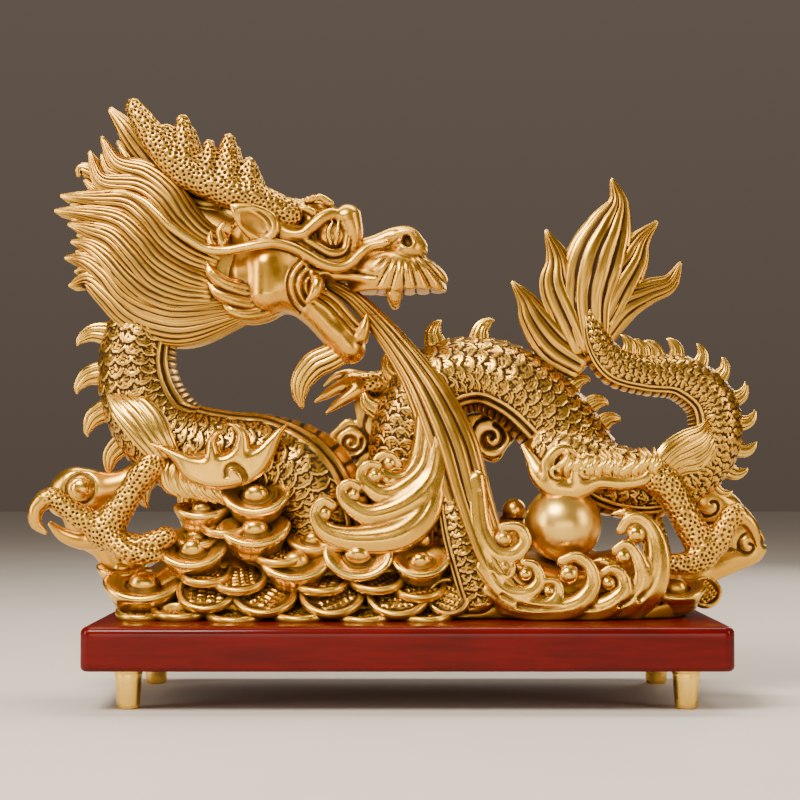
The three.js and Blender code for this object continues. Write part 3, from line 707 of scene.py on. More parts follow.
class Clay:
    """A block of cells from `low` to `high`, each `cell` mm wide."""

    def __init__(self, low, high, cell=0.8):
        self.low = np.array(low, float)
        self.cell = cell
        self.field = np.full(((np.array(high) - self.low) / cell).astype(int) + 1, FAR, np.float32)

    def window(self, low, high):
        """The cells between two corners, and their x, y and z."""
        first = np.clip(((np.array(low) - self.low) / self.cell).astype(int), 0, self.field.shape)
        last = np.clip(((np.array(high) - self.low) / self.cell).astype(int) + 2, 0, self.field.shape)
        room = tuple(slice(a, b) for a, b in zip(first, last))
        axes = [self.low[i] + self.cell * np.arange(first[i], last[i]) for i in range(3)]
        return room, np.meshgrid(*axes, indexing="ij", sparse=True)

    def press(self, room, distance, blend, carve):
        """Joins a shape to the clay, or takes it away, with a fillet about `blend` mm wide."""
        old = self.field[room]
        if carve:
            mix = np.clip(0.5 - 0.5 * (old + distance) / blend, 0, 1)
            self.field[room] = old * (1 - mix) - distance * mix + blend * mix * (1 - mix)
        else:
            mix = np.clip(0.5 + 0.5 * (old - distance) / blend, 0, 1)
            self.field[room] = old * (1 - mix) + distance * mix - blend * mix * (1 - mix)

    def blob(self, centre, half, blend=3.0, tilt=0.0, carve=False):
        """An egg with the given half sizes, tilted in the front view by `tilt` degrees."""
        centre, half = np.array(centre, float), np.array(half, float)
        reach = half.max() + blend + MARGIN
        room, (x, y, z) = self.window(centre - reach, centre + reach)
        c, s = math.cos(math.radians(tilt)), math.sin(math.radians(tilt))
        u = (x - centre[0]) * c + (z - centre[2]) * s
        w = (z - centre[2]) * c - (x - centre[0]) * s
        v = y - centre[1]
        k0 = np.sqrt((u / half[0]) ** 2 + (v / half[1]) ** 2 + (w / half[2]) ** 2)
        k1 = np.sqrt((u / half[0] ** 2) ** 2 + (v / half[1] ** 2) ** 2 + (w / half[2] ** 2) ** 2) + 1e-6
        self.press(room, k0 * (k0 - 1) / k1, blend, carve)

    def limb(self, stations, blend=3.0, flat=1.0, relief=None, carve=False, spacing=2.5):
        """A rounded limb along stations. `relief(run, angle, radius)` gives mm to push out."""
        data, run = smooth_line(stations, spacing)
        line, radius = data[:, :3], np.maximum(data[:, 3], 0.2)
        _, back, across = axes_along(line)
        reach = radius.max() * max(flat, 1.0) + blend + MARGIN
        room, (x, y, z) = self.window(line.min(axis=0) - reach, line.max(axis=0) + reach)
        shape = np.broadcast_shapes(x.shape, y.shape, z.shape)
        best = np.full(shape, FAR, np.float32)
        where = np.zeros(shape, np.float32)
        angle = np.zeros(shape, np.float32)
        for k in range(len(line) - 1):
            near = max(radius[k], radius[k + 1]) * max(flat, 1.0) + blend + MARGIN
            low, high = np.minimum(line[k], line[k + 1]) - near, np.maximum(line[k], line[k + 1]) + near
            part = tuple(slice(*np.searchsorted(axis.ravel(), (a, b)))
                         for axis, a, b in zip((x, y, z), low, high))
            px = x[part[0]] - line[k][0]
            py = (y[:, part[1]] - line[k][1]) / flat
            pz = z[:, :, part[2]] - line[k][2]
            step = line[k + 1] - line[k]
            dx, dy, dz = step[0], step[1] / flat, step[2]
            share = np.clip((px * dx + py * dy + pz * dz) / (dx * dx + dy * dy + dz * dz), 0, 1)
            ox, oy, oz = px - share * dx, py - share * dy, pz - share * dz
            size = radius[k] + share * (radius[k + 1] - radius[k])
            found = np.sqrt(ox * ox + oy * oy + oz * oz) - size
            better = found < best[part]
            best[part] = np.where(better, found, best[part])
            if relief:
                where[part] = np.where(better, run[k] + share * (run[k + 1] - run[k]), where[part])
                turn = np.arctan2(ox * across[k][0] + oy * across[k][1] + oz * across[k][2], -oy)
                angle[part] = np.where(better, turn, angle[part])
        if relief:
            best = best - relief(where, angle, np.interp(where, run, radius))
        self.press(room, best, blend, carve)

    def band(self, path, width, height, nearest=0.0):
        """Raises a soft band, or cuts it where `height` is negative, along a path of x and z."""
        line, _ = smooth_line(path, 1.0)
        flat_line = line[:, :2]
        low = [flat_line[:, 0].min() - 3 * width, nearest, flat_line[:, 1].min() - 3 * width]
        high = [flat_line[:, 0].max() + 3 * width, 1e3, flat_line[:, 1].max() + 3 * width]
        room, (x, _, z) = self.window(low, high)
        away = np.full((x.shape[0], z.shape[2]), 99.0)
        for px, pz in flat_line:
            away = np.minimum(away, np.hypot(x[:, 0] - px, z[0] - pz))
        self.field[room] -= (height * np.exp(-(away / width) ** 2))[:, None, :].astype(np.float32)

    def pits(self, spacing, radius, depth, keep=None):
        """Presses small dents all over the skin, about `spacing` mm apart."""
        near = np.argwhere(np.abs(self.field) < 0.5 * self.cell)
        places = self.low + near * self.cell
        if keep is not None:
            places = places[keep(*places.T)]
        taken, chosen = {}, []
        for place in rng.permutation(places):
            home = tuple((place // spacing).astype(int))
            around = [taken.get((home[0] + i, home[1] + j, home[2] + k), ()) for i in (-1, 0, 1)
                      for j in (-1, 0, 1) for k in (-1, 0, 1)]
            if all(np.sum((place - other) ** 2) > spacing ** 2 for group in around for other in group):
                taken.setdefault(home, []).append(place)
                chosen.append(place)
        for place in chosen:
            room, (x, y, z) = self.window(place - radius, place + radius)
            away = ((x - place[0]) ** 2 + (y - place[1]) ** 2 + (z - place[2]) ** 2) / radius ** 2
            self.field[room] += depth * np.clip(1 - away, 0, 1) ** 0.7

    def stand_flat(self, height=0.3):
        """Cuts the underside flat, a little above the board."""
        room, (_, _, z) = self.window(self.low - 9, [1e3, 1e3, 3])
        self.field[room] = np.maximum(self.field[room], (height - z).astype(np.float32))

    def volume(self):
        """Cubic centimetres of clay."""
        return round(float((self.field < 0).sum()) * self.cell ** 3 / 1000, 1)

    def mirror(self):
        """Copies the half from y = 0 up to the other side."""
        self.low[1] -= self.cell * (self.field.shape[1] - 1)
        self.field = np.concatenate([self.field[:, :0:-1], self.field], axis=1)

    def skin(self):
        """Points, quads and triangles laid over the clay."""
        grid = openvdb.FloatGrid(background=3.0)
        grid.copyFromArray(np.ascontiguousarray(np.clip(self.field, -3, 3)), tolerance=0.0)
        points, tris, quads = grid.convertToPolygons(isovalue=0.0, adaptivity=0.0)
        return self.low + points * self.cell, np.asarray(quads, int), np.asarray(tris, int)


ball = Clay((-8, -8, -8), (8, 8, 8))
ball.blob((0, 0, 0), (5, 5, 5))
print("a 10 mm ball of clay holds", ball.volume(), "cubic cm")

# %% [markdown]
# ## Head
# The head is clay, modelled on the near side and mirrored, because a carver keeps both sides alike. Here
# the second number of each station is the distance out from the middle plane. The skull, snout and jaw are
# big soft lumps. The mouth is carved out between them, and gums and teeth are pressed on.
# %% Skull, snout and jaw
MIDDLE = 1.0  # where the middle plane of the head lies, as y


def outward(clay):
    """The mirrored clay's skin, with its second number turned into y."""
    clay.mirror()
    points, quads, tris = clay.skin()
    points[:, 1] = MIDDLE - points[:, 1]
    return points, quads[:, ::-1], tris[:, ::-1]


head = Clay((-142, 0, 160), (36, 40, 296), 0.74)
head.blob((-90, 0, 254), (34, 23, 31), 4)
head.blob((-66, 0, 262), (26, 18, 21), 5)
head.limb([[-94, 9, 235, 14.5], [-94, 9, 217, 14.5]], 5, flat=1.15)
head.blob((-79, 8, 224), (17, 16, 17.5), 6)
head.limb([[-78, 0, 243, 19], [-56, 0, 240, 15], [-38, 0, 239, 13], [-18, 0, 239, 12]], 5, flat=1.2)
head.blob((-6, 0, 223), (34, 22, 24), 4)
head.blob((-9, 9, 231), (26, 15, 15), 5)
head.blob((-2, 0, 205), (60, 40, 16), 2, carve=True)
head.limb([[-34, 8, 248, 5], [-20, 8, 252, 5.5], [-9, 9, 256, 6], [1, 10, 256, 6.5], [7, 9, 250, 6]], 3)
head.blob((1, 6, 247), (13, 14, 9), 3)
head.blob((0, 19, 252), (3.8, 7, 4.8), 1.5, tilt=20, carve=True)
head.limb([[-10, 13, 254, 1.6], [-4, 15, 258, 1.8], [3, 16, 257, 1.8], [6, 16, 250, 1.8]], 1.5)
head.limb([[-40, 11, 268, 9.5], [-37, 12, 259, 7], [-36, 12, 250, 4]], 3)
head.limb([[-86, 0, 220, 14], [-72, 0, 214, 12.5], [-62, 1, 206, 11.5], [-54, 1, 198, 11.5],
           [-46, 1, 189, 11.5], [-40, 0, 181, 9.5]], 5, flat=1.35)
head.blob((-39, 0, 181), (11.5, 14, 10), 4, tilt=-40)

for inset in (-2.2, 1.2, 4.6):
    head.limb([[-66 + inset, 12 - inset, 217 + 0.9 * inset, 2.2],
               [-53 + inset, 12 - inset, 209 + 0.9 * inset, 2.4],
               [-43 + inset, 11 - inset, 198 + 0.9 * inset, 2.4],
               [-33 + inset, 9 - 0.8 * inset, 187 + inset, 2.2]], 1.2)
head.limb([[-31, 10, 188, 5], [-28.5, 11, 195, 3.6], [-27, 11, 203, 0.9]], 1.5)
head.limb([[-8, 15, 225, 7], [-8.5, 15, 217, 5.6], [-8, 14, 211.5, 3.4]], 2)
print("half the head so far:", head.volume(), "cubic cm")

# %% [markdown]
# ### Muzzle, whisker and cheek
# The muzzle has folds that fan down from the nostril like the ribs of a shell. They are worked out from the
# angle round the fan's centre, which spaces them evenly. The long whisker starts as a ridge of the face,
# arcs frame the corner of the mouth, and three grooved prongs make the frill behind the cheek.
# %% Muzzle folds, whisker root and frill
fan_x, fan_z, fan_start, fold_depth = -2.0, 252.0, 13, 2.0
room, (x, out, z) = head.window((-34, 0, 214), (36, 40, 250))
spread = np.degrees(np.arctan2(x - fan_x, fan_z - z))
fall = np.clip((np.hypot(x - fan_x, z - fan_z) - fan_start) / 10, 0, 1) * np.clip((x + 24) / 8, 0, 1)
fold = np.abs(np.sin(np.radians(spread) * 12)) ** 0.8
head.field[room] -= (fold_depth * fall * (fold - 0.62) * np.clip((z - 216) / 5, 0, 1)).astype(np.float32)

head.limb([[-66, 15, 231, 4], [-52, 16, 229, 3.4], [-38, 16, 228, 3], [-24, 17, 225, 3], [-12, 17, 223, 2.6]],
          1.5)
head.band([[-64, 235], [-48, 231], [-34, 230], [-20, 227]], 1.3, -1.0, 9)
WHISKER_ROOT = [[-14, 20, 250, 2.4], [-24, 19, 248, 3], [-31, 20, 243, 3.2], [-38, 20, 236, 3.4],
                [-47, 21, 233, 3.6], [-58, 22, 236, 3.6], [-68, 23, 242, 3.4], [-79, 25, 247, 3.4],
                [-91, 26, 249, 3.4], [-104, 27, 247, 3.4], [-121, 26, 244, 3.4], [-133, 26, 245, 3.2]]
head.limb(WHISKER_ROOT, 1.3)
for reach in (20, 15, 10):
    arc = [[-60 + reach * math.cos(a), 221 + 1.05 * reach * math.sin(a)]
           for a in np.radians(np.arange(128, 248, 15))]
    head.band(arc, 1.3, -1.8, 8)
    head.band([[u + 2.5, w] for u, w in arc], 1.9, 1.1, 8)
head.blob((-55, 18, 221), (6, 9, 8), 2, carve=True)
head.limb([[-64, 18, 229, 2], [-60, 21, 223, 4.4], [-62, 22, 216, 3.8], [-67, 21, 210, 1.4]], 1)
FRILL = [
    [[-134, 21, 237, 1], [-131, 22, 230, 3.4], [-123, 21, 223, 4.6], [-112, 17, 219, 5.4], [-102, 11, 217, 5]],
    [[-133, 20, 223, 1], [-127, 21, 216, 3.2], [-118, 20, 212, 4.4], [-108, 16, 210, 5], [-99, 11, 210, 4.6]],
    [[-123, 19, 209, 1], [-117, 19, 204, 3.2], [-108, 17, 202, 4.2], [-97, 13, 204, 5], [-88, 8, 208, 5]]]
head.blob((-109, 6, 228), (13, 13, 18), 5)
for prong in FRILL:
    head.limb(prong, 1.2, relief=lambda run, angle, size: 0.16 * size * (np.abs(np.sin(3 * angle)) - 0.6))
print("with muzzle and cheek:", head.volume(), "cubic cm")

# %% [markdown]
# ### Eye, brow, ear and crown
# The eye is a ball in a carved socket, with two thin bands as the slit and a rolled lid below. The brow
# runs back from it in one wave. The ear is a flat leaf, hollowed, with a rolled rim. Small dents cover the
# crown, as they do the horns.
# %% Eye, brow, ear and crown
head.limb([[-66, 19, 253, 2], [-59, 20, 255, 5], [-51, 20, 256, 8]], 1.2, carve=True)
head.blob((-51, 13.5, 256), (9, 6.5, 9.5), 1, tilt=30)
head.limb([[-50, 19, 264, 0.9], [-53, 20.4, 257, 1.1], [-51, 19.5, 249, 0.9]], 0.8)
head.limb([[-46, 18, 265, 0.9], [-46.5, 19.5, 257, 1.2], [-48, 18.5, 249, 0.9]], 0.8)
head.limb([[-68, 20, 252, 2], [-59, 20, 247, 2.6], [-50, 19, 243, 3], [-42, 17, 246, 2.6],
           [-40, 16, 256, 2.4]], 1.2)
BROW = [[-87, 18, 266, 2.4], [-84, 20, 259, 3.2], [-77, 21, 255.5, 3.6], [-70, 21, 256, 3.8],
        [-64, 20, 261, 4], [-57, 19, 267, 4], [-50, 17, 270, 4], [-44, 15, 268, 3.4]]
head.limb(BROW, 2.2)
head.blob((-72, 20, 267), (5.5, 6, 5), 1.5, carve=True)
head.limb([[-78, 16, 272, 2.2], [-70, 17, 274, 2.4], [-63, 17, 271, 2.4]], 1.2)
head.blob((-60, 15, 277), (4.6, 4, 3), 1.2, tilt=-20, carve=True)
head.limb([[-67, 13, 280, 2.4], [-59, 12, 282, 2.4], [-52, 12, 278, 2.6]], 1.2)
head.limb([[-92, 22, 252, 5], [-97, 24, 257, 9], [-104, 26, 263, 9], [-111, 28, 269, 5.5],
           [-117, 29, 274, 1.2]], 2, flat=0.62)
head.limb([[-95, 30, 257, 3.6], [-99, 31, 260, 6], [-105, 32, 264, 6], [-111, 33, 269, 2.6]], 2.5, carve=True,
          spacing=0.8)
head.limb([[-114, 29, 274, 1.4], [-104, 28, 273, 2.2], [-95, 26, 270, 2.6], [-89, 26, 265, 3],
           [-88, 26, 258, 3], [-91, 26, 253, 2.8]], 1)
head.limb([[-122, 24, 263, 1.2], [-125, 24, 258, 2.6], [-123, 24, 250, 3.2]], 1)
head.limb([[-131, 22, 257, 1.2], [-132, 23, 251, 2.6], [-128, 23, 246, 3]], 1)


def crown(x, out, z):
    """Where the dents of the crown may lie."""
    off_brow = (z > 263 + 0.05 * (x + 90)) & (out < 20)
    return off_brow & (x < -60) & (x > -128) & ((z > 275) | (x < -77)) & ~((x > -66) & (z < 281))


head.pits(2.9, 1.5, 1.25, crown)
show(make_piece("head", *outward(head), keep=0.42), antique_brass)

# %% [markdown]
# ## Horns
# Each horn is an antler with a round-ended beam and five tines, dented all over like a thimble. The dents
# could be drawn with a bump map, but they show in the outline, so each one is pressed into the clay, about
# 3 mm from the next.
# %% Pitted horns
HORN = [[-80, 16, 270, 10], [-97, 18, 278, 10.5], [-117, 19, 284, 11], [-137, 19, 292, 11],
        [-154, 19, 303, 10.5], [-168, 19, 318, 10], [-177, 19, 331, 8.5], [-184, 19, 342, 6]]
# Each tine is the x and z of its foot and tip, and its radius.
TINES = [[-157, 303, -161, 331, 6.5], [-148, 297, -151, 338, 8], [-133, 291, -133, 321, 6.5],
         [-120, 285, -120, 325, 8], [-105, 280, -106, 309, 7.5]]
horn = Clay((-200, 0, 256), (-66, 34, 354), 0.66)
horn.limb(HORN, 3, flat=0.9)
for foot_x, foot_z, tip_x, tip_z, size in TINES:
    horn.limb([[foot_x, 19, foot_z, size + 1.5], [(foot_x + tip_x) / 2, 19, (foot_z + tip_z) / 2, size],
               [tip_x, 19, tip_z - size * 0.7, size * 0.6]], 4, flat=0.9)
horn.pits(2.8, 1.5, 1.35)
show(make_piece("horns", *outward(horn), keep=0.42), scaled_brass)

# %% [markdown]
# ## Mane
# The mane is layer on layer of S-shaped locks that run back from the cheek. Drawing every lock would be
# long work, so each guide line gives one lock, and a lock halfway between each pair fills the gaps. A core
# behind them closes the form, and a plainer set of locks covers the far side.
# %% Guides and locks of the mane
# Each guide runs from the cheek to a tip, as x and z. The radii and the distances out are the same for all.
MANE_GUIDES = [
    [[-122, 250], [-137, 256], [-149, 268], [-160, 285], [-176, 298], [-196, 305], [-207, 323]],
    [[-124, 244], [-140, 252], [-154, 264], [-166, 279], [-181, 289], [-206, 293], [-215, 313]],
    [[-129, 236], [-145, 242], [-160, 252], [-174, 268], [-189, 279], [-211, 281], [-234, 283]],
    [[-132, 223], [-149, 228], [-166, 238], [-179, 253], [-194, 266], [-215, 271], [-238, 273]],
    [[-132, 214], [-152, 216], [-170, 224], [-184, 239], [-199, 254], [-215, 260], [-229, 264]],
    [[-116, 211], [-152, 207], [-172, 212], [-188, 224], [-202, 240], [-214, 249], [-227, 252]],
    [[-111, 206], [-150, 200], [-172, 204], [-190, 214], [-203, 229], [-217, 239], [-231, 241]],
    [[-106, 203], [-145, 192], [-169, 194], [-187, 202], [-202, 216], [-215, 226], [-228, 222]]]
LOCK_RADII = [8, 9.5, 10, 9.5, 8.5, 6, 1.4]
LOCK_OUT = [13, 15, 16, 16, 14, 12, 11]
LOW_LOCKS, THIN_ROOT = 9, 3  # from this lock on, the root is seen, so it starts this thin


def mane_side(heap, side, fine, spacing):
    """The locks of one side: 1 is the near side, -1 the far side, and less lies nearer the middle."""
    guides = np.array(MANE_GUIDES, float)
    for number in range(2 * len(guides) - 1):
        a, b = guides[number // 2], guides[min(number // 2 + number % 2, len(guides) - 1)]
        path = (a + b) / 2
        between = number % 2
        path[-1] += between * (path[-2] - path[-1]) * 0.35
        rows = [[x, MIDDLE - side * (out - 2.2 * between), z, max(r - 1.5 * between, 1.2)]
                for (x, z), out, r in zip(path, LOCK_OUT, LOCK_RADII)]
        angles = fine_front_angles(9.5, fine, 2.4) + (0 if side > 0 else math.pi)

        def ridges(run, angle, size, salt=number):
            wander = 0.3 * np.sin(run / 17 + salt)
            main = np.abs(np.sin(angle * 7 + wander + salt)) ** 0.75
            return size * (0.13 * (main - 0.7) + 0.03 * np.cos(angle * 3 + salt))

        if number >= LOW_LOCKS:
            rows[0][3] = THIN_ROOT
        heap.add(*swept(rows, spacing, angles, flat=0.72, relief=ridges, ends=(0.2, 0.8)))


print("locks on each side:", 2 * len(MANE_GUIDES) - 1)

# %% The two sides of the mane
mane = Heap()
mane_side(mane, 1, 0.62, 1.9)
mane.add(*lock([[-158, -3, 292, 9], [-170, -4, 303, 9], [-181, -5, 316, 8], [-191, -6, 330, 6.5],
                [-202, -6, 343, 2]], strands=5, depth=0.17, spacing=1.5, fine=0.8))
mane.add(*lock([[-180, -3, 284, 8], [-196, -4, 293, 8], [-210, -5, 298, 6], [-221, -6, 302, 4],
                [-223, -6, 297, 1.5]], strands=5, depth=0.17, spacing=1.5, fine=0.8))
show(mane.piece("mane_near_side", 0.52), combed_brass)

mane_back = Heap()
mane_side(mane_back, -1, 1.0, 2.6)
mane_side(mane_back, 0.3, 1.6, 3.2)
mane_side(mane_back, -0.3, 1.6, 3.2)
mane_back.add(*swept([[-96, 1, 240, 30], [-125, 1, 238, 38], [-152, 1, 244, 38], [-176, 1, 256, 28],
                      [-198, 1, 268, 14]], 3, even_angles(40), flat=0.34))
for shift, lift in ((0, 0), (-7, -13), (8, 12)):
    mane_back.add(*lock([[-128 + shift, 1, 276 + lift, 8], [-150 + shift, 1, 280 + lift, 10],
                         [-170 + shift, 1, 294 + lift, 10], [-186 + shift, 1, 306 + lift, 7],
                         [-198 + shift, 1, 322 + lift, 1.4]], strands=6, depth=0.15, spacing=2, fine=1.1))
show(mane_back.piece("mane_far_side", 0.36), combed_brass)

# %% [markdown]
# ### Whiskers and beard
# The whisker leaves the face as a ridge and goes on over the mane as a thin round rod, so its first stations
# are those of the ridge. The beard is one fat lock under the chin.
# %% Whiskers and beard
WHISKER = [[x, MIDDLE - out, z, r] for x, out, z, r in WHISKER_ROOT[-4:]]
WHISKER += [[-144, -25, 251, 3.2], [-157, -25, 260, 3.2], [-166, -24, 269, 3], [-175, -22, 277, 2.6],
            [-187, -19, 283, 1.6], [-200, -16, 285, 0.8]]
whisker = Heap()
whisker.add(*swept(WHISKER, 1.2, even_angles(20)))
whisker.add(*swept([[x, 2 * MIDDLE - y, z, r] for x, y, z, r in WHISKER], 1.6, even_angles(16)))
beard = [[-43, 1, 179, 8], [-53, 1, 174, 9], [-63, 1, 169, 9], [-71, 1, 159, 7.5], [-73, 1, 149, 5],
         [-71, 1, 140, 1.2]]
whisker.add(*lock(beard, strands=6, depth=0.17, spacing=1.0, fine=0.7, flat=0.9))
show(whisker.piece("whiskers_and_beard", 0.6), rubbed_brass)

# %% [markdown]
# ## Legs
# Each leg is a clay limb that bends at the elbow or hock and ends in a gripping foot. Toes grow out of a
# paw with no crease, which clay does by itself. The skin is dented like the horns, and the claws are
# pressed on after that, so that they stay smooth.
# %% Legs and claws
def leg(name, low, high, limbs, claws, cell=0.68, dent=1.35, keep=0.4):
    """A leg of pitted limbs and smooth claws, in a block of clay from `low` to `high`."""
    clay = Clay(low, high, cell)
    for stations in limbs:
        clay.limb(stations, 3)
    clay.pits(2.8, 1.5, dent)
    for stations in claws:
        clay.limb(stations, 1.5)
    show(make_piece(name, *clay.skin(), keep=keep), antique_brass)


FORE_LEG = [[-156, -18, 106, 9], [-165, -27, 103, 9.5], [-171, -31, 98, 9.5], [-177, -32, 91, 9.3],
            [-184, -32, 80, 9], [-193, -32, 67, 10.5], [-199, -32, 57, 11.5]]
FORE_TOES = [[[-199, -32, 58, 9], [-211, -34, 65, 8.4], [-222, -36, 72, 7.4], [-232, -37, 80, 6.8],
              [-238, -38, 78, 6.2]],
             [[-196, -34, 54, 8.5], [-184, -36, 49, 8.2], [-172, -37, 49, 7.6], [-160, -37, 53, 7.2],
              [-158, -37, 54, 7]],
             [[-193, -38, 52, 7], [-183, -42, 45, 6.5], [-172, -43, 42, 5.8], [-162, -42, 42, 4]]]
FORE_CLAWS = [[[-237, -38, 79, 6.2], [-243, -39, 72, 5.2], [-243, -39, 63, 4], [-237, -39, 57, 1.6]],
              [[-203, -26, 52, 8], [-216, -24, 51, 6], [-228, -24, 55, 4.6], [-236, -26, 62, 2]]]
leg("near_foreleg", (-252, -54, 28), (-88, 0, 136), [FORE_LEG] + FORE_TOES, FORE_CLAWS)

HIND_LEG = [[150, -20, 98, 11], [160, -26, 97, 11.5], [166, -28, 92, 11.8], [173, -29, 86, 11.4],
            [180, -29, 74, 10.4], [188, -29, 59, 10.4], [195, -29, 47, 11]]
HIND_TOES = [[[196, -29, 45, 10.5], [205, -31, 51, 8.6], [210, -32, 61, 8], [215, -33, 69, 7.4],
              [219, -33, 68, 6.4]],
             [[195, -31, 41, 10], [186, -34, 37, 8], [177, -36, 36, 7.2], [167, -37, 37, 6.2]]]
HIND_CLAWS = [[[218, -33, 69, 6], [225, -33, 63, 5], [229, -32, 56, 3.8], [231, -31, 48, 1.5]]]
leg("near_hindleg", (86, -50, 22), (240, 4, 122), [HIND_LEG] + HIND_TOES, HIND_CLAWS)

# %% Far legs, plainer
leg("far_foreleg", (-72, 8, 124), (50, 42, 186),
    [[[31, 24, 165, 12.5], [13, 26, 165, 10.5], [-6, 26, 160, 9], [-24, 24, 157, 9], [-37, 22, 157, 8.5]]],
    [[[-36, 21, 158, 7], [-46, 20, 155, 4.6], [-55, 20, 150, 3.4], [-63, 20, 145, 1.2]],
     [[-34, 18, 153, 6], [-42, 16, 147, 4.2], [-49, 16, 142, 3], [-55, 16, 137, 1.2]],
     [[-30, 24, 160, 6], [-40, 25, 164, 4], [-50, 24, 162, 2.6], [-57, 23, 156, 1]]], cell=0.8, dent=0.9)
leg("far_hindleg", (106, 6, 6), (222, 54, 112),
    [[[120, 20, 92, 16], [146, 28, 84, 12], [166, 32, 72, 9.5], [172, 33, 52, 9.5], [176, 33, 34, 10]],
     [[176, 33, 33, 9.5], [188, 34, 27, 7.4], [199, 35, 25, 6.2]]],
    [[[198, 35, 26, 6], [206, 35, 23, 4.4], [212, 35, 16, 1.6]],
     [[174, 36, 32, 8], [162, 38, 26, 6], [152, 38, 20, 2]]], cell=0.8, dent=0.9)

# %% [markdown]
# ## Flames, tufts and hip fur
# Where a leg joins the body, a smooth flame lies over the joint. The shoulder's is a flat plate with three
# upturned tongues, so its outline is drawn with tapered strokes and given one thickness. The hip's has
# rounder tongues, so it is made of limbs. Hair sweeps back from each elbow, and short fur covers the hip.
# %% The shoulder's flame
# Each stroke's stations are x, z and half its width.
SHOULDER_FLAME = [
    [[-169, 115, 1], [-160, 111.5, 2.6], [-150, 106, 4.5], [-141, 99, 8], [-130, 96, 10.5], [-117, 97, 11.5],
     [-104, 100, 10], [-95, 107, 7], [-89, 116, 4.6], [-84, 123, 2.8], [-79, 128, 0.8]],
    [[-127, 102, 6], [-128, 110, 4.4], [-128, 117, 3.2], [-125, 121.5, 2.4], [-120.5, 123.5, 1]],
    [[-111, 103, 8], [-108, 113, 5.2], [-108, 121, 3.8], [-112, 126, 2.6], [-117, 128, 1]]]
HIP_FLAMES = [  # limbs of x, y, z and radius
    [[77, -22, 114, 1.6], [83, -25, 104, 4], [88, -28, 95, 7], [98, -32, 87, 8.5], [112, -34, 85, 7],
     [126, -35, 90, 5], [142, -36, 89, 4.4], [156, -37, 92, 3.6], [161, -36, 102, 1.6]],
    [[96, -33, 92, 6.5], [93, -33, 102, 5], [98, -33, 110, 4], [106, -33, 112, 3], [112, -33, 107, 2]],
    [[112, -35, 90, 5.5], [112, -36, 99, 4.4], [118, -36, 105, 3.6], [126, -36, 104, 2.6]]]
flames = Clay((-182, -52, 70), (172, 0, 140), 0.8)


def flame_plate(strokes, thick=5.4, edge=5.0, fill=4.0):
    """A flat plate with rounded edges, as wide as its tapered strokes, with filled corners between them."""
    room, (x, y, z) = flames.window((-176, -50, 78), (-70, -20, 136))
    side = np.full(np.broadcast_shapes(x.shape, z.shape), 20.0)
    for stations in strokes:
        line, _ = smooth_line(stations, 1.5)
        stroke = np.full(side.shape, 20.0)
        for a, b in zip(line, line[1:]):
            dx, dz = b[0] - a[0], b[1] - a[1]
            share = np.clip(((x - a[0]) * dx + (z - a[1]) * dz) / (dx * dx + dz * dz), 0, 1)
            found = np.hypot(x - a[0] - share * dx, z - a[1] - share * dz) - a[2] - share * (b[2] - a[2])
            stroke = np.minimum(stroke, found)
        side = np.minimum(side, stroke) - np.maximum(fill - np.abs(side - stroke), 0) ** 2 / (4 * fill)
    middle = np.interp(x, (-170, -145, -115, -80), (-35, -38.5, -39, -32))
    side, face = side + edge, np.abs(y - middle) - thick + edge
    shape = np.minimum(np.maximum(side, face), 0) + np.hypot(np.maximum(side, 0), np.maximum(face, 0)) - edge
    flames.press(room, shape.astype(np.float32), 1, False)


flame_plate(SHOULDER_FLAME)
print("the plate of the shoulder's flame:", flames.volume(), "cubic cm")

# %% The hip's flame and the curls
for stations in HIP_FLAMES:
    flames.limb(stations, 2.5, flat=0.62)
flames.limb([[-152, -25, 104, 6], [-128, -25, 99, 11], [-100, -24, 107, 8]], 3)
flames.limb([[-105, -41, 85, 2.4], [-105.5, -42, 92, 2.3], [-108.5, -43, 98, 2.2], [-113.5, -44, 101, 2.2],
             [-118, -44.4, 98.5, 2], [-118, -44.4, 94.5, 1.8]], 0.6, carve=True)
for curl_x, curl_z, size in ((-142, 111, 5), (98, 97, 4.4), (117, 97, 3.8)):
    turns = [(5 * t, size * (0.35 + 0.65 * t)) for t in np.linspace(0, 1, 8)]
    flames.limb([[curl_x + out * math.cos(a), -38, curl_z + out * math.sin(a), 1.5] for a, out in turns], 0.8)
show(make_piece("shoulder_and_hip_flames", *flames.skin(), keep=0.4), rubbed_brass)

# %% Tufts behind the legs
def tuft(k, first, step):
    """Lock number `k` of a fan: its stations are those of the first lock, moved on by `k` steps."""
    rows = np.array(first, float)
    rows[:, :3] += k * np.array(step)
    tufts.add(*lock(rows, strands=4, depth=0.22, spacing=1.3, fine=0.8, salt=k))


ELBOW = [[-163, -31, 104, 4.5], [-172, -33, 115, 6], [-183, -31, 128, 6.4], [-192, -28, 138, 5],
         [-200, -23, 149, 1.2]]
ELBOW_STEP = [[2, 0, 1], [3, 0, 1], [4, 0, 1], [4, 0, 1], [5, -1, -1]]
ARMPIT = [[-158, -29, 104, 4], [-160, -31, 95, 4.4], [-157, -31, 86, 3.4], [-150, -30, 80, 1]]
ARMPIT_STEP = [[5, 0, -2], [6, 0, -2], [6, 0, -1], [6, 0, -1]]
HOCK = [[163, -27, 98, 4], [172, -26, 111, 5], [184, -22, 119, 5], [196, -17, 124, 4], [202, -13, 131, 1]]
HOCK_STEP = [[2, 2, -1], [2, 2, -2], [2, 2, -3], [1, 1, -3], [1, 0, -3]]
tufts = Heap()
for k in range(5):
    tuft(k, ELBOW, ELBOW_STEP)
for k in range(7):
    tuft(k, ARMPIT, ARMPIT_STEP)
    tuft(k, HOCK, HOCK_STEP)
show(tufts.piece("leg_tufts", 0.4), rubbed_brass)

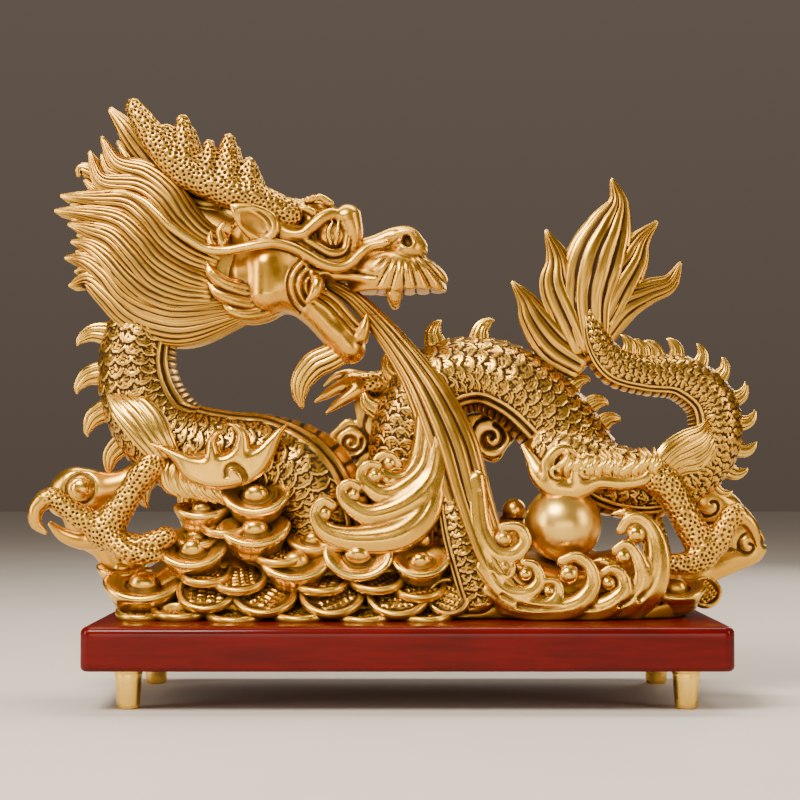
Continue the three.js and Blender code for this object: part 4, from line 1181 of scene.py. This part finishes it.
# %% Fur on the hip
HAIRS = 34
hip_fur = Heap()
for k in range(HAIRS):
    share, sway = k / (HAIRS - 1), rng.uniform(-1, 1, 3)
    x, z = 100 + 64 * share + 2 * sway[0], 104 - 3 * math.sin(3 * share) + 2 * sway[1]
    hair = [[x + 1, -31 - 3 * share, z - 9, 2.4], [x - 1.5 + sway[2], -36 - 2 * share, z - 4, 2.5],
            [x + 1.5 - sway[2], -37 - share, z + 1, 2.1], [x - 1 + 2 * sway[0], -32, z + 6 + 3 * sway[1], 1]]
    hip_fur.add(*swept(hair, 1.1, even_angles(12)))
show(hip_fur.piece("hip_fur", 0.6), antique_brass)

# %% [markdown]
# ## Waves
# Where the stream lands it breaks into crescents that each roll up round a small ball. They grow out of
# each other, so they are clay and not separate swept skins. A crescent is a limb that swells and thins,
# with a narrow crest along its inner edge that catches the light and a groove down its middle.
# %% The lines of the waves
# Each wave is its stations, of x, y, z and radius, and then the ball it rolls up round.
LEFT_WAVES = [
    ([[18, -27, 104, 6], [14, -31, 74, 10], [-4, -36, 56, 11.5], [-31, -38, 52, 9.5], [-52, -39, 57, 6.5],
      [-60, -39, 69, 4.2], [-55, -39, 77, 3.6], [-49, -39, 74, 3]], (-54, -38, 69, 4.8)),
    ([[22, -27, 118, 6], [17, -29, 92, 9], [0, -33, 75, 9.5], [-23, -35, 68, 7.5], [-38, -36, 75, 5.2],
      [-43, -36, 84, 3.8], [-38, -36, 89, 3.2], [-32, -36, 86, 2.6]], (-35, -36, 81, 4.2)),
    ([[17, -23, 126, 6], [12, -26, 99, 8.5], [-4, -30, 84, 8.5], [-17, -32, 82, 6.5], [-27, -33, 89, 4.8],
      [-30, -33, 95, 3.6], [-26, -33, 101, 3], [-19, -33, 100, 2.6]], (-21, -33, 94, 5)),
    ([[12, -19, 146, 5], [10, -22, 112, 7], [2, -25, 95, 6.5], [-9, -28, 92, 5], [-20, -29, 99, 3.6],
      [-18, -29, 106, 3], [-10, -29, 107, 2.6], [-6, -29, 101, 2.2]], (-12, -29, 102, 4))]
RIGHT_WAVES = [
    ([[46, -34, 92, 6], [49, -37, 60, 7.5], [58, -40, 44, 7.5], [70, -42, 43, 5.5], [77, -42, 52, 4.4],
      [72, -42, 60, 3.6], [62, -42, 60, 3]], (63, -42, 53, 5.6)),
    ([[50, -40, 44, 5], [57, -43, 32, 5], [65, -44, 29, 3.6], [68, -44, 35, 2.8]], (63, -44, 35, 3.8)),
    ([[50, -40, 36, 6], [63, -43, 20, 6.5], [78, -45, 18, 5.5], [86, -45, 26, 4], [83, -45, 35, 3.2],
      [76, -45, 37, 2.6]], (77, -45, 30, 4.4)),
    ([[54, -40, 20, 6], [71, -44, 11, 6.5], [90, -46, 10, 5], [98, -46, 17, 3.6], [97, -46, 24, 2.8],
      [91, -46, 25, 2.2]], (92, -46, 19, 3.4)),
    ([[64, -40, 10, 7], [87, -43, 7, 8], [109, -45, 10, 7.5], [120, -45, 22, 5.6], [119, -45, 34, 4.2],
      [110, -45, 41, 3.6], [100, -45, 38, 3]], (105, -45, 30, 6.8)),
    ([[100, -38, 6, 7], [126, -42, 8, 8], [140, -44, 18, 5.6], [140, -44, 28, 3.8], [133, -44, 33, 3.2],
      [126, -44, 29, 2.6]], (131, -44, 24, 4.6)),
    ([[127, -36, 6, 8], [145, -40, 12, 8], [153, -41, 27, 6.4], [150, -41, 41, 4.6], [143, -41, 49, 3.6],
      [136, -41, 45, 3]], (141, -41, 41, 4.8)),
    ([[146, -34, 8, 11], [159, -37, 20, 10.5], [164, -38, 37, 8.6], [162, -38, 54, 6.2], [154, -38, 65, 4.8],
      [145, -38, 65, 3.8], [140, -38, 58, 3]], (150, -38, 56, 6.6))]


print("waves:", len(LEFT_WAVES), "to the left and", len(RIGHT_WAVES), "to the right")


# %% Breaking waves
def wave(clay, stations, ball, side):
    """A crescent with its crest, groove and ball. `side` is which way it rolls."""
    clay.limb(stations, 2.2, flat=0.85, spacing=1.8)
    data, _ = smooth_line(stations, 4)
    _, _, across = axes_along(data[:, :3])
    crest = data.copy()
    crest[:, :3] += across * (side * 0.62 * data[:, 3:4])
    crest[:, 1] -= 0.42 * data[:, 3]
    crest[:, 3] = 0.2 * data[:, 3] + 0.7
    clay.limb(crest, 1.6)
    groove = data.copy()
    groove[:, :3] -= across * (side * 0.15 * data[:, 3:4])
    groove[:, 1] -= 1.0 * data[:, 3]
    groove[:, 3] = 0.16 * data[:, 3] + 0.2
    clay.limb(groove[2:-3], 1.2, carve=True)
    clay.blob(ball[:3], (ball[3], 0.9 * ball[3], ball[3]), 1)


waves = Clay((-72, -58, -2), (184, -8, 156), 0.84)
for side, lines in ((1, LEFT_WAVES), (-1, RIGHT_WAVES)):
    for stations, ball in lines:
        wave(waves, stations, ball, side)
waves.limb([[52, -26, 30, 14], [80, -26, 20, 16], [110, -24, 16, 16], [140, -22, 16, 16], [160, -22, 24, 14]],
           3)
waves.limb([[20, -20, 92, 12], [6, -22, 70, 12], [-16, -24, 62, 10]], 3)
waves.blob((11, -33, 52), (4.6, 4.6, 4.6), 1)
for tip in ([[150, -34, 66, 5], [143, -36, 70, 3.4], [135, -36, 69, 1]],
            [[136, -36, 34, 5], [129, -38, 38, 3.4], [122, -38, 38, 1]]):
    waves.limb(tip, 1.5)
waves.stand_flat()
show(make_piece("waves", *waves.skin(), keep=0.38), rubbed_brass)

# %% [markdown]
# ## Pearl, coins and ingots
# The pearl is a plain ball, polished. A boat-shaped ingot has a flared rim and a domed middle. A coin is a
# thin disc with a raised rim, and its face has rows of short strokes that aren't writing. All of them are
# round, so each is a profile spun on a lathe, and a rule lifts the skin for the ingot's saddle and the
# coin's strokes. Blender's screw modifier spins a profile too, but leaves no room for such a rule.
# %% Turned shapes
def turned(profile, count, wobble=None):
    """Spins an outline of [radius, height] pairs about the upright line. `wobble(radius, angle)` lifts it."""
    outline = np.asarray(profile, float)
    angles = even_angles(count)
    radius, height = outline[:, 0][:, None], outline[:, 1][:, None] + 0 * angles[None, :]
    if wobble is not None:
        height = height + wobble(radius, angles[None, :])
    points = np.stack([radius * np.cos(angles), radius * np.sin(angles), height], axis=-1)
    quads, tris = grid_faces(len(outline), count)
    ends = [[0, 0, height[0].mean()], [0, 0, height[-1].mean()]]
    return np.vstack([points.reshape(-1, 3), ends]), quads, tris


print("a turned cone has", len(turned([[5, 0], [1, 9]], 12)[0]), "points")

# %% Pearl
PEARL_PLACE, PEARL_RADIUS = (104, -20, 62), 25.5
latitude = np.radians(np.linspace(-88.5, 88.5, 90))
pearl = Heap()
pearl.add(*turned(np.stack([PEARL_RADIUS * np.cos(latitude), PEARL_RADIUS * np.sin(latitude)], axis=1)
                  + [0, PEARL_PLACE[2]], 150))
pearl.points[0] += [PEARL_PLACE[0], PEARL_PLACE[1], 0]
show(pearl.piece("pearl", 0.4), bright_brass)


# %% An ingot and a coin
def placed(shape, place, tip, spin, stretch=(1, 1)):
    """Stretches a turned shape, spins it, tips it toward the front and carries it to its place."""
    points, quads, tris = shape
    points = points * [stretch[0], stretch[1], 1]
    c, s = math.cos(spin), math.sin(spin)
    points = points @ np.array([[c, s, 0], [-s, c, 0], [0, 0, 1]])
    c, s = math.cos(math.radians(tip)), math.sin(math.radians(tip))
    points = points @ np.array([[1, 0, 0], [0, c, s], [0, -s, c]])
    return points + np.array(place), quads, tris


# The rim, side and foot of an ingot, in shares of its radius and height.
TRAY = [[0.41, 0.1], [0.45, 0.06], [0.49, 0.1], [0.53, 0.15], [0.6, 0.18], [0.7, 0.24], [0.81, 0.3],
        [0.9, 0.32], [0.97, 0.29], [1.01, 0.19], [1.0, 0.06], [0.93, -0.14], [0.84, -0.42], [0.78, -0.66],
        [0.74, -0.9], [0.62, -0.96], [0.2, -0.96]]


def ingot(size):
    """A boat of brass with a domed middle, whose two ends rise like a saddle."""
    height = 0.62 * size
    dome = [[0.38 * math.cos(a), 0.12 + 0.56 * math.sin(a)] for a in np.radians(np.arange(88, 4, -7))]

    def saddle(radius, angle):
        return 0.13 * height * (radius / size) ** 2 * np.cos(2 * angle)

    return turned(np.array(dome + TRAY) * [size, height], 88, saddle)


# The rim and edge of a coin, as shares of its radius and heights in mm.
COIN_RIM = [[0.76, 0.2], [0.79, 1.2], [0.83, 1.9], [0.89, 2.2], [0.95, 1.9], [0.99, 1.1], [1, -0.6],
            [0.99, -2.6], [0.96, -3], [0.5, -3]]
STROKE_COLUMNS, STROKE_ROWS, STROKE_MM = 3.2, 5.2, 0.95


def coin(size, salt):
    """A coin whose strokes differ with `salt`, so that no two faces are alike."""

    def strokes(radius, angle):
        u, v = radius * np.cos(angle + salt) / size, radius * np.sin(angle + salt) / size
        inside = np.clip((0.66 - np.maximum(np.abs(u), np.abs(v)) * 1.15) / 0.06, 0, 1)
        column = np.floor(u * STROKE_COLUMNS)
        in_column = np.mod(u * STROKE_COLUMNS, 1) - 0.5
        rows = np.exp(-((np.mod(v * STROKE_ROWS + column * 0.37, 1) - 0.5) / 0.22) ** 2)
        posts = np.exp(-(in_column / 0.16) ** 2) * (steady_noise(column, np.floor(v * 3), salt) > 0.35)
        gap = np.clip((0.42 - np.abs(in_column)) / 0.06, 0, 1)
        face = STROKE_MM * inside * np.maximum(rows * gap, posts)
        return np.where(radius < 0.75 * size, face, 0)

    top = [[ring, 0] for ring in np.linspace(0.04, 0.74, 26)]
    points, quads, tris = turned(np.array(top + COIN_RIM) * [size, 1], 110, strokes)
    points[-1, 2] = COIN_RIM[-1][1]
    return points, quads, tris


print("an ingot has", len(ingot(20)[0]), "points and a coin", len(coin(20, 0)[0]))

# %% The hoard
# Each is x, y, z, radius and how far it is tipped to the front, in degrees.
INGOTS = [[-174, -23, 20, 27, 24], [-141, -31, 44, 23, 36], [-100, -30, 80, 23, 40],
          [-100, -33, 57, 23.5, 30], [-73, -35, 36, 23.5, 34], [-32, -38, 41, 23, 56], [9, -38, 37, 19, 38],
          [-136, -22, 70, 19, 14], [178, -24, 18, 20, 20], [-192, -4, 30, 17, 14], [-140, -24, 52, 17, 20],
          [-62, -26, 50, 18, 24]]
COINS = [[-131, -37, 19, 20, 38], [-93, -39, 17, 21.5, 36], [-49, -40, 17, 21.5, 38], [-6, -40, 17, 21, 42],
         [27, -40, 15, 14.5, 56], [200, -12, 16, 11, 70], [-110, -34, 28, 19, 30], [-70, -38, 7, 21, 16],
         [-112, -38, 6, 21, 16], [-28, -38, 6, 21, 16], [-148, -34, 7, 20, 14], [12, -38, 5, 19, 14],
         [-174, -30, 5, 18, 12], [-56, -34, 26, 19, 24], [-20, -34, 27, 19, 24], [8, -35, 22, 18, 26],
         [-132, -32, 31, 18, 24], [-84, -32, 44, 18, 24], [-46, -28, 52, 15, 20], [-120, -28, 62, 17, 22],
         [-150, 8, 34, 18, -8], [-118, 22, 36, 19, -18], [-84, 26, 34, 19, -20], [-48, 26, 32, 18, -22]]
hoard = Heap()
for number, (x, y, z, size, tip) in enumerate(INGOTS):
    hoard.add(*placed(ingot(size), (x, y, z), tip, 0.12 * math.sin(number * 2.3), (1.0, 0.8)))
show(hoard.piece("ingots", 0.5), rubbed_brass)
purse = Heap()
for number, (x, y, z, size, tip) in enumerate(COINS):
    purse.add(*placed(coin(size, number), (x, y, z), tip, 0.5 * number))
show(purse.piece("coins", 0.35), antique_brass)

# %% [markdown]
# ## Clouds and rock
# Behind and under everything runs a rock with rolled clouds at both ends and stepped cloud scrolls at the
# back. It also carries the casting's foot, a low sill that stands on the board. A noise texture could
# roughen a rock, but a carver cuts broad folds and scrolls, so folds are a smooth wave added to the clay,
# and each scroll is a spiral groove cut through it.
# %% Rock and the big clouds
ROCK = [[-178, 2, 10, 16], [-162, 2, 16, 22], [-130, 3, 22, 28], [-80, 4, 24, 30], [-30, 4, 22, 30],
        [20, 4, 20, 30], [70, 5, 18, 30], [110, 5, 16, 28], [150, 4, 14, 26], [176, 2, 10, 16]]


ground = Clay((-252, -50, -2), (250, 48, 166), 1.15)
ground.limb(ROCK, 4, flat=1.05, spacing=5)
ground.limb([[-216, 2, 84, 14], [-228, 2, 84, 14], [-234, 2, 76, 10]], 4, flat=0.7)
ground.limb([[-224, 2, 86, 13], [-205, 3, 84, 12], [-188, 4, 90, 10], [-174, 4, 104, 7]], 4, flat=0.8)
ground.limb([[-226, 2, 78, 10], [-219, 2, 58, 11], [-203, 2, 46, 11], [-192, 2, 30, 13], [-182, 2, 16, 15]],
            4, flat=0.8)
ground.limb([[176, 10, 84, 12], [204, 12, 76, 15], [222, 12, 66, 11], [214, 12, 54, 12]], 4, flat=0.7)
ground.limb([[214, 12, 56, 9], [230, 12, 51, 12], [236, 12, 44, 10], [224, 12, 37, 9], [208, 11, 31, 10],
             [194, 8, 24, 12], [182, 6, 14, 13]], 4, flat=0.7)
ground.limb([[73, 6, 40, 16], [73, 8, 58, 12]], 4)
ground.blob((73, 4, 70), (8, 8, 8.5), 1)
print("rock and big clouds:", ground.volume(), "cubic cm")


# %% Stepped clouds at the back
def spiral(centre, size, turns, start=0.0, way=1):
    """A path of x and z that winds out from its centre."""
    shares = np.linspace(0.12, 1, 26)
    angles = start + way * 2 * math.pi * turns * shares
    return np.array(centre) + size * shares[:, None] * np.stack([np.cos(angles), np.sin(angles)], axis=1)


def stepped_cloud(x0, y0, z0, size, lobes, thick=4.5):
    """A flat cloud of two stepped layers with a lobed outline and a scroll cut through it."""
    centre = np.array([x0, y0, z0])
    reach = np.array([1.25 * size, thick + 10, 1.25 * size])
    room, (x, y, z) = ground.window(centre - reach, centre + reach)
    around = np.arctan2(z - z0, x - x0)
    for layer, share in enumerate((1.0, 0.72)):
        shift = 0.13 * size * layer
        away = np.hypot(x - x0 - shift, z - z0 + shift)
        side = away - share * size * (1 + (0.1, 0.04)[layer] * np.cos(lobes * around + layer))
        face = np.abs(y - y0) - thick - 2.6 * layer
        outside = np.hypot(np.maximum(side, 0), np.maximum(face, 0)) - 1
        ground.press(room, (np.minimum(np.maximum(side, face), 0) + outside).astype(np.float32), 1, False)
    ground.band(spiral((x0 + 0.13 * size, z0 - 0.13 * size), 0.6 * size, 1.4, lobes), 1.5, -2.4, y0 - 14)


# Each is x, y, z, size and number of lobes.
CLOUDS = [[-14, 28, 132, 22, 5], [14, 30, 108, 19, 5], [56, 28, 122, 17, 5], [-40, 28, 118, 13, 4],
          [-18, 28, 94, 20, 6], [-8, 28, 62, 21, 5], [36, 30, 90, 15, 5], [40, 28, 62, 20, 6],
          [-156, 26, 26, 15, 5], [-124, 30, 22, 17, 6], [-88, 32, 26, 19, 5], [-52, 32, 20, 17, 6],
          [-20, 32, 28, 18, 5], [16, 32, 22, 18, 6], [52, 32, 28, 18, 5], [88, 32, 22, 17, 6],
          [122, 30, 26, 17, 5], [154, 26, 22, 14, 5]]
for cloud in CLOUDS:
    stepped_cloud(*cloud)
print("with", len(CLOUDS), "stepped clouds:", ground.volume(), "cubic cm")

# %% The opening under the foreleg, the sill and the folds
ground.blob((-148, 0, 58), (10, 60, 6.5), 3, tilt=-10, carve=True)
room, (x, y, z) = ground.window((-200, -50, -2), (200, 48, 20))
SILL_HALF_LENGTH, SILL_HALF_WIDTH, SILL_END, SILL_HEIGHT = 158, 16, 22, 9
corner_x = np.maximum(np.abs(x - 2) - SILL_HALF_LENGTH, 0)
corner_y = np.maximum(np.abs(y - 2) - SILL_HALF_WIDTH, 0)
sill = np.maximum(np.hypot(corner_x, corner_y) - SILL_END, z - SILL_HEIGHT)
ground.press(room, sill.astype(np.float32), 5, False)
room, (x, y, z) = ground.window((-190, -50, 2), (190, 50, 64))
folds = (np.sin(0.17 * x + 1.3 * np.sin(0.11 * z + 0.05 * y))
         + np.sin(0.23 * z + 0.07 * y + 1.6 * np.sin(0.06 * x)))
ground.field[room] += (1.5 * folds).astype(np.float32)
print("with the sill:", ground.volume(), "cubic cm")

# %% Scrolls of the end clouds, and the foot
for centre, size, start, way in (((207, 74), 15, 2.4, -1), ((233, 46), 11, 2.0, -1)):
    ground.band(spiral(centre, size, 1.3, start, way), 1.7, -2.4, -50)
ring = [[-220 + 9.4 * math.cos(a), 85 + 9.4 * math.sin(a)] for a in np.linspace(0, 2 * math.pi, 24)]
ground.band(ring, 1.5, -2.2, -50)
ground.stand_flat()
show(make_piece("rock_and_clouds", *ground.skin(), keep=0.26), antique_brass)
cloud_disc = Clay((-240, -24, 68), (-200, 4, 104), 0.9)
cloud_disc.blob((-220, -7.5, 85), (6.6, 3.4, 6.6), 1)
show(make_piece("cloud_disc", *cloud_disc.skin()), rubbed_brass)

# %% [markdown]
# ## Board
# The board is solid wood under many coats of red lacquer, rubbed to a gloss, with rounded edges. A cube
# with a bevel modifier would do for the shape. Stacked rounded rectangles do it in the same way as the
# other pieces, and leave a wide flat top. The lacquer gives the eye a deep red, with the wood's grain as a
# faint change of tone, and a thin clear gloss over it.
# %% Red lacquer on wood
# How many go in a metre: the streaks of the grain are 56 mm long and 5.6 wide, and the gloss ripples
# every 4.5.
STREAKS_ALONG, STREAKS_ACROSS, RIPPLES_IN_METRE = 18.0, 180.0, 220.0
red_lacquer, tree = new_material("red lacquer on wood")
place = add_node(tree, "ShaderNodeTexCoord")
stretched = add_node(tree, "ShaderNodeMapping", {"Scale": (STREAKS_ALONG, STREAKS_ACROSS, STREAKS_ACROSS)},
                     {"Vector": place.outputs["Object"]})
grain = add_node(tree, "ShaderNodeTexNoise",
                 {"Scale": 1.0, "Detail": 5.0, "Roughness": 0.6, "Distortion": 0.4},
                 {"Vector": stretched.outputs[0]})
tone = add_node(tree, "ShaderNodeMapRange", {"From Min": 0.3, "From Max": 0.7},
                {"Value": grain.outputs["Fac"]})
red = add_node(tree, "ShaderNodeMix", {"data_type": "RGBA", "A": linear("#480201"), "B": linear("#620402")},
               {"Factor": tone.outputs[0]})
peel = add_node(tree, "ShaderNodeTexNoise", {"Scale": RIPPLES_IN_METRE, "Detail": 2.0},
                {"Vector": place.outputs["Object"]})
skin = add_node(tree, "ShaderNodeBump", {"Strength": 0.08, "Distance": 0.0002},
                {"Height": peel.outputs["Fac"]})
lacquer = add_node(tree, "ShaderNodeBsdfPrincipled",
                   {"Roughness": 0.5, "IOR": 1.5, "Specular IOR Level": 0.05, "Coat Weight": 0.28,
                    "Coat Roughness": 0.08, "Coat IOR": 1.5},
                   {"Base Color": red.outputs["Result"], "Normal": skin.outputs[0]})
finish_material(tree, lacquer)
print(red_lacquer.name, "has", len(tree.nodes), "nodes")

# %% The board
CORNER, EDGE = 7, 4.5  # mm: how round the corners and the top edge are


def board_ring(inset, height):
    """A rounded rectangle, `inset` mm in from the board's outline."""
    half_x, half_y = BOARD_SIZE[0] / 2 - inset, BOARD_SIZE[1] / 2 - inset
    bend = max(CORNER - inset, 0.8)
    ring = []
    for quarter, (way_x, way_y) in enumerate(((1, 1), (-1, 1), (-1, -1), (1, -1))):
        for step in range(9):
            a = math.pi / 2 * (quarter + step / 8)
            ring.append([way_x * (half_x - bend) + bend * math.cos(a),
                         way_y * (half_y - bend) + bend * math.sin(a), height])
    return ring


rise = [[EDGE * (1 - math.sin(a)), -EDGE * (1 - math.cos(a))] for a in np.radians(np.linspace(90, 0, 9))]
deep = BOARD_SIZE[2]
under = [[inset * 0.7, -deep - z * 0.7] for inset, z in rise]
levels = ([[40, 0], [12, 0]] + rise[::-1] + [[0, -deep * 0.35], [0, -deep * 0.7]] + under
          + [[12, -deep], [40, -deep]])
rings = [board_ring(inset, z) for inset, z in levels]
points = np.vstack(rings + [[[0, 0, 0], [0, 0, -deep]]])
quads, tris = grid_faces(len(rings), len(rings[0]))
show(make_piece("board", points, quads, tris, measured=False), red_lacquer, "lacquered_board")

# %% [markdown]
# ## Feet
# The four feet are turned from brass rod and polished, so they are spun like the coins. They taper to the
# floor and have a fine ring at the top. Each is fitted to its own solid in the frame.
# %% Turned feet
TAPER = 0.74  # the foot's width at the floor, as a share of its width at the top
for name in ("foot_front_left", "foot_front_right", "foot_back_left", "foot_back_right"):
    low, high = (np.array(corner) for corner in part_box(name))
    centre = ((low + high) / 2 - HOME) / MM
    top, bottom = (high[2] - HOME[2]) / MM, (low[2] - HOME[2]) / MM
    wide = (high[0] - low[0]) / MM / 2
    narrow = TAPER * wide
    profile = [[0.5, top], [wide - 1, top], [wide, top - 0.6], [wide, top - 2.4], [wide - 0.7, top - 3.0],
               [wide - 0.5, top - 3.8], [wide - 1.2, top - 8], [narrow + 0.4, bottom + 3],
               [narrow, bottom + 1], [narrow - 0.8, bottom], [0.5, bottom]]
    points, quads, tris = turned(profile, 64)
    points[:, :2] += centre[:2]
    foot = make_piece(name + "_turned", points, quads, tris, measured=False)
    show(foot, bright_brass, name)
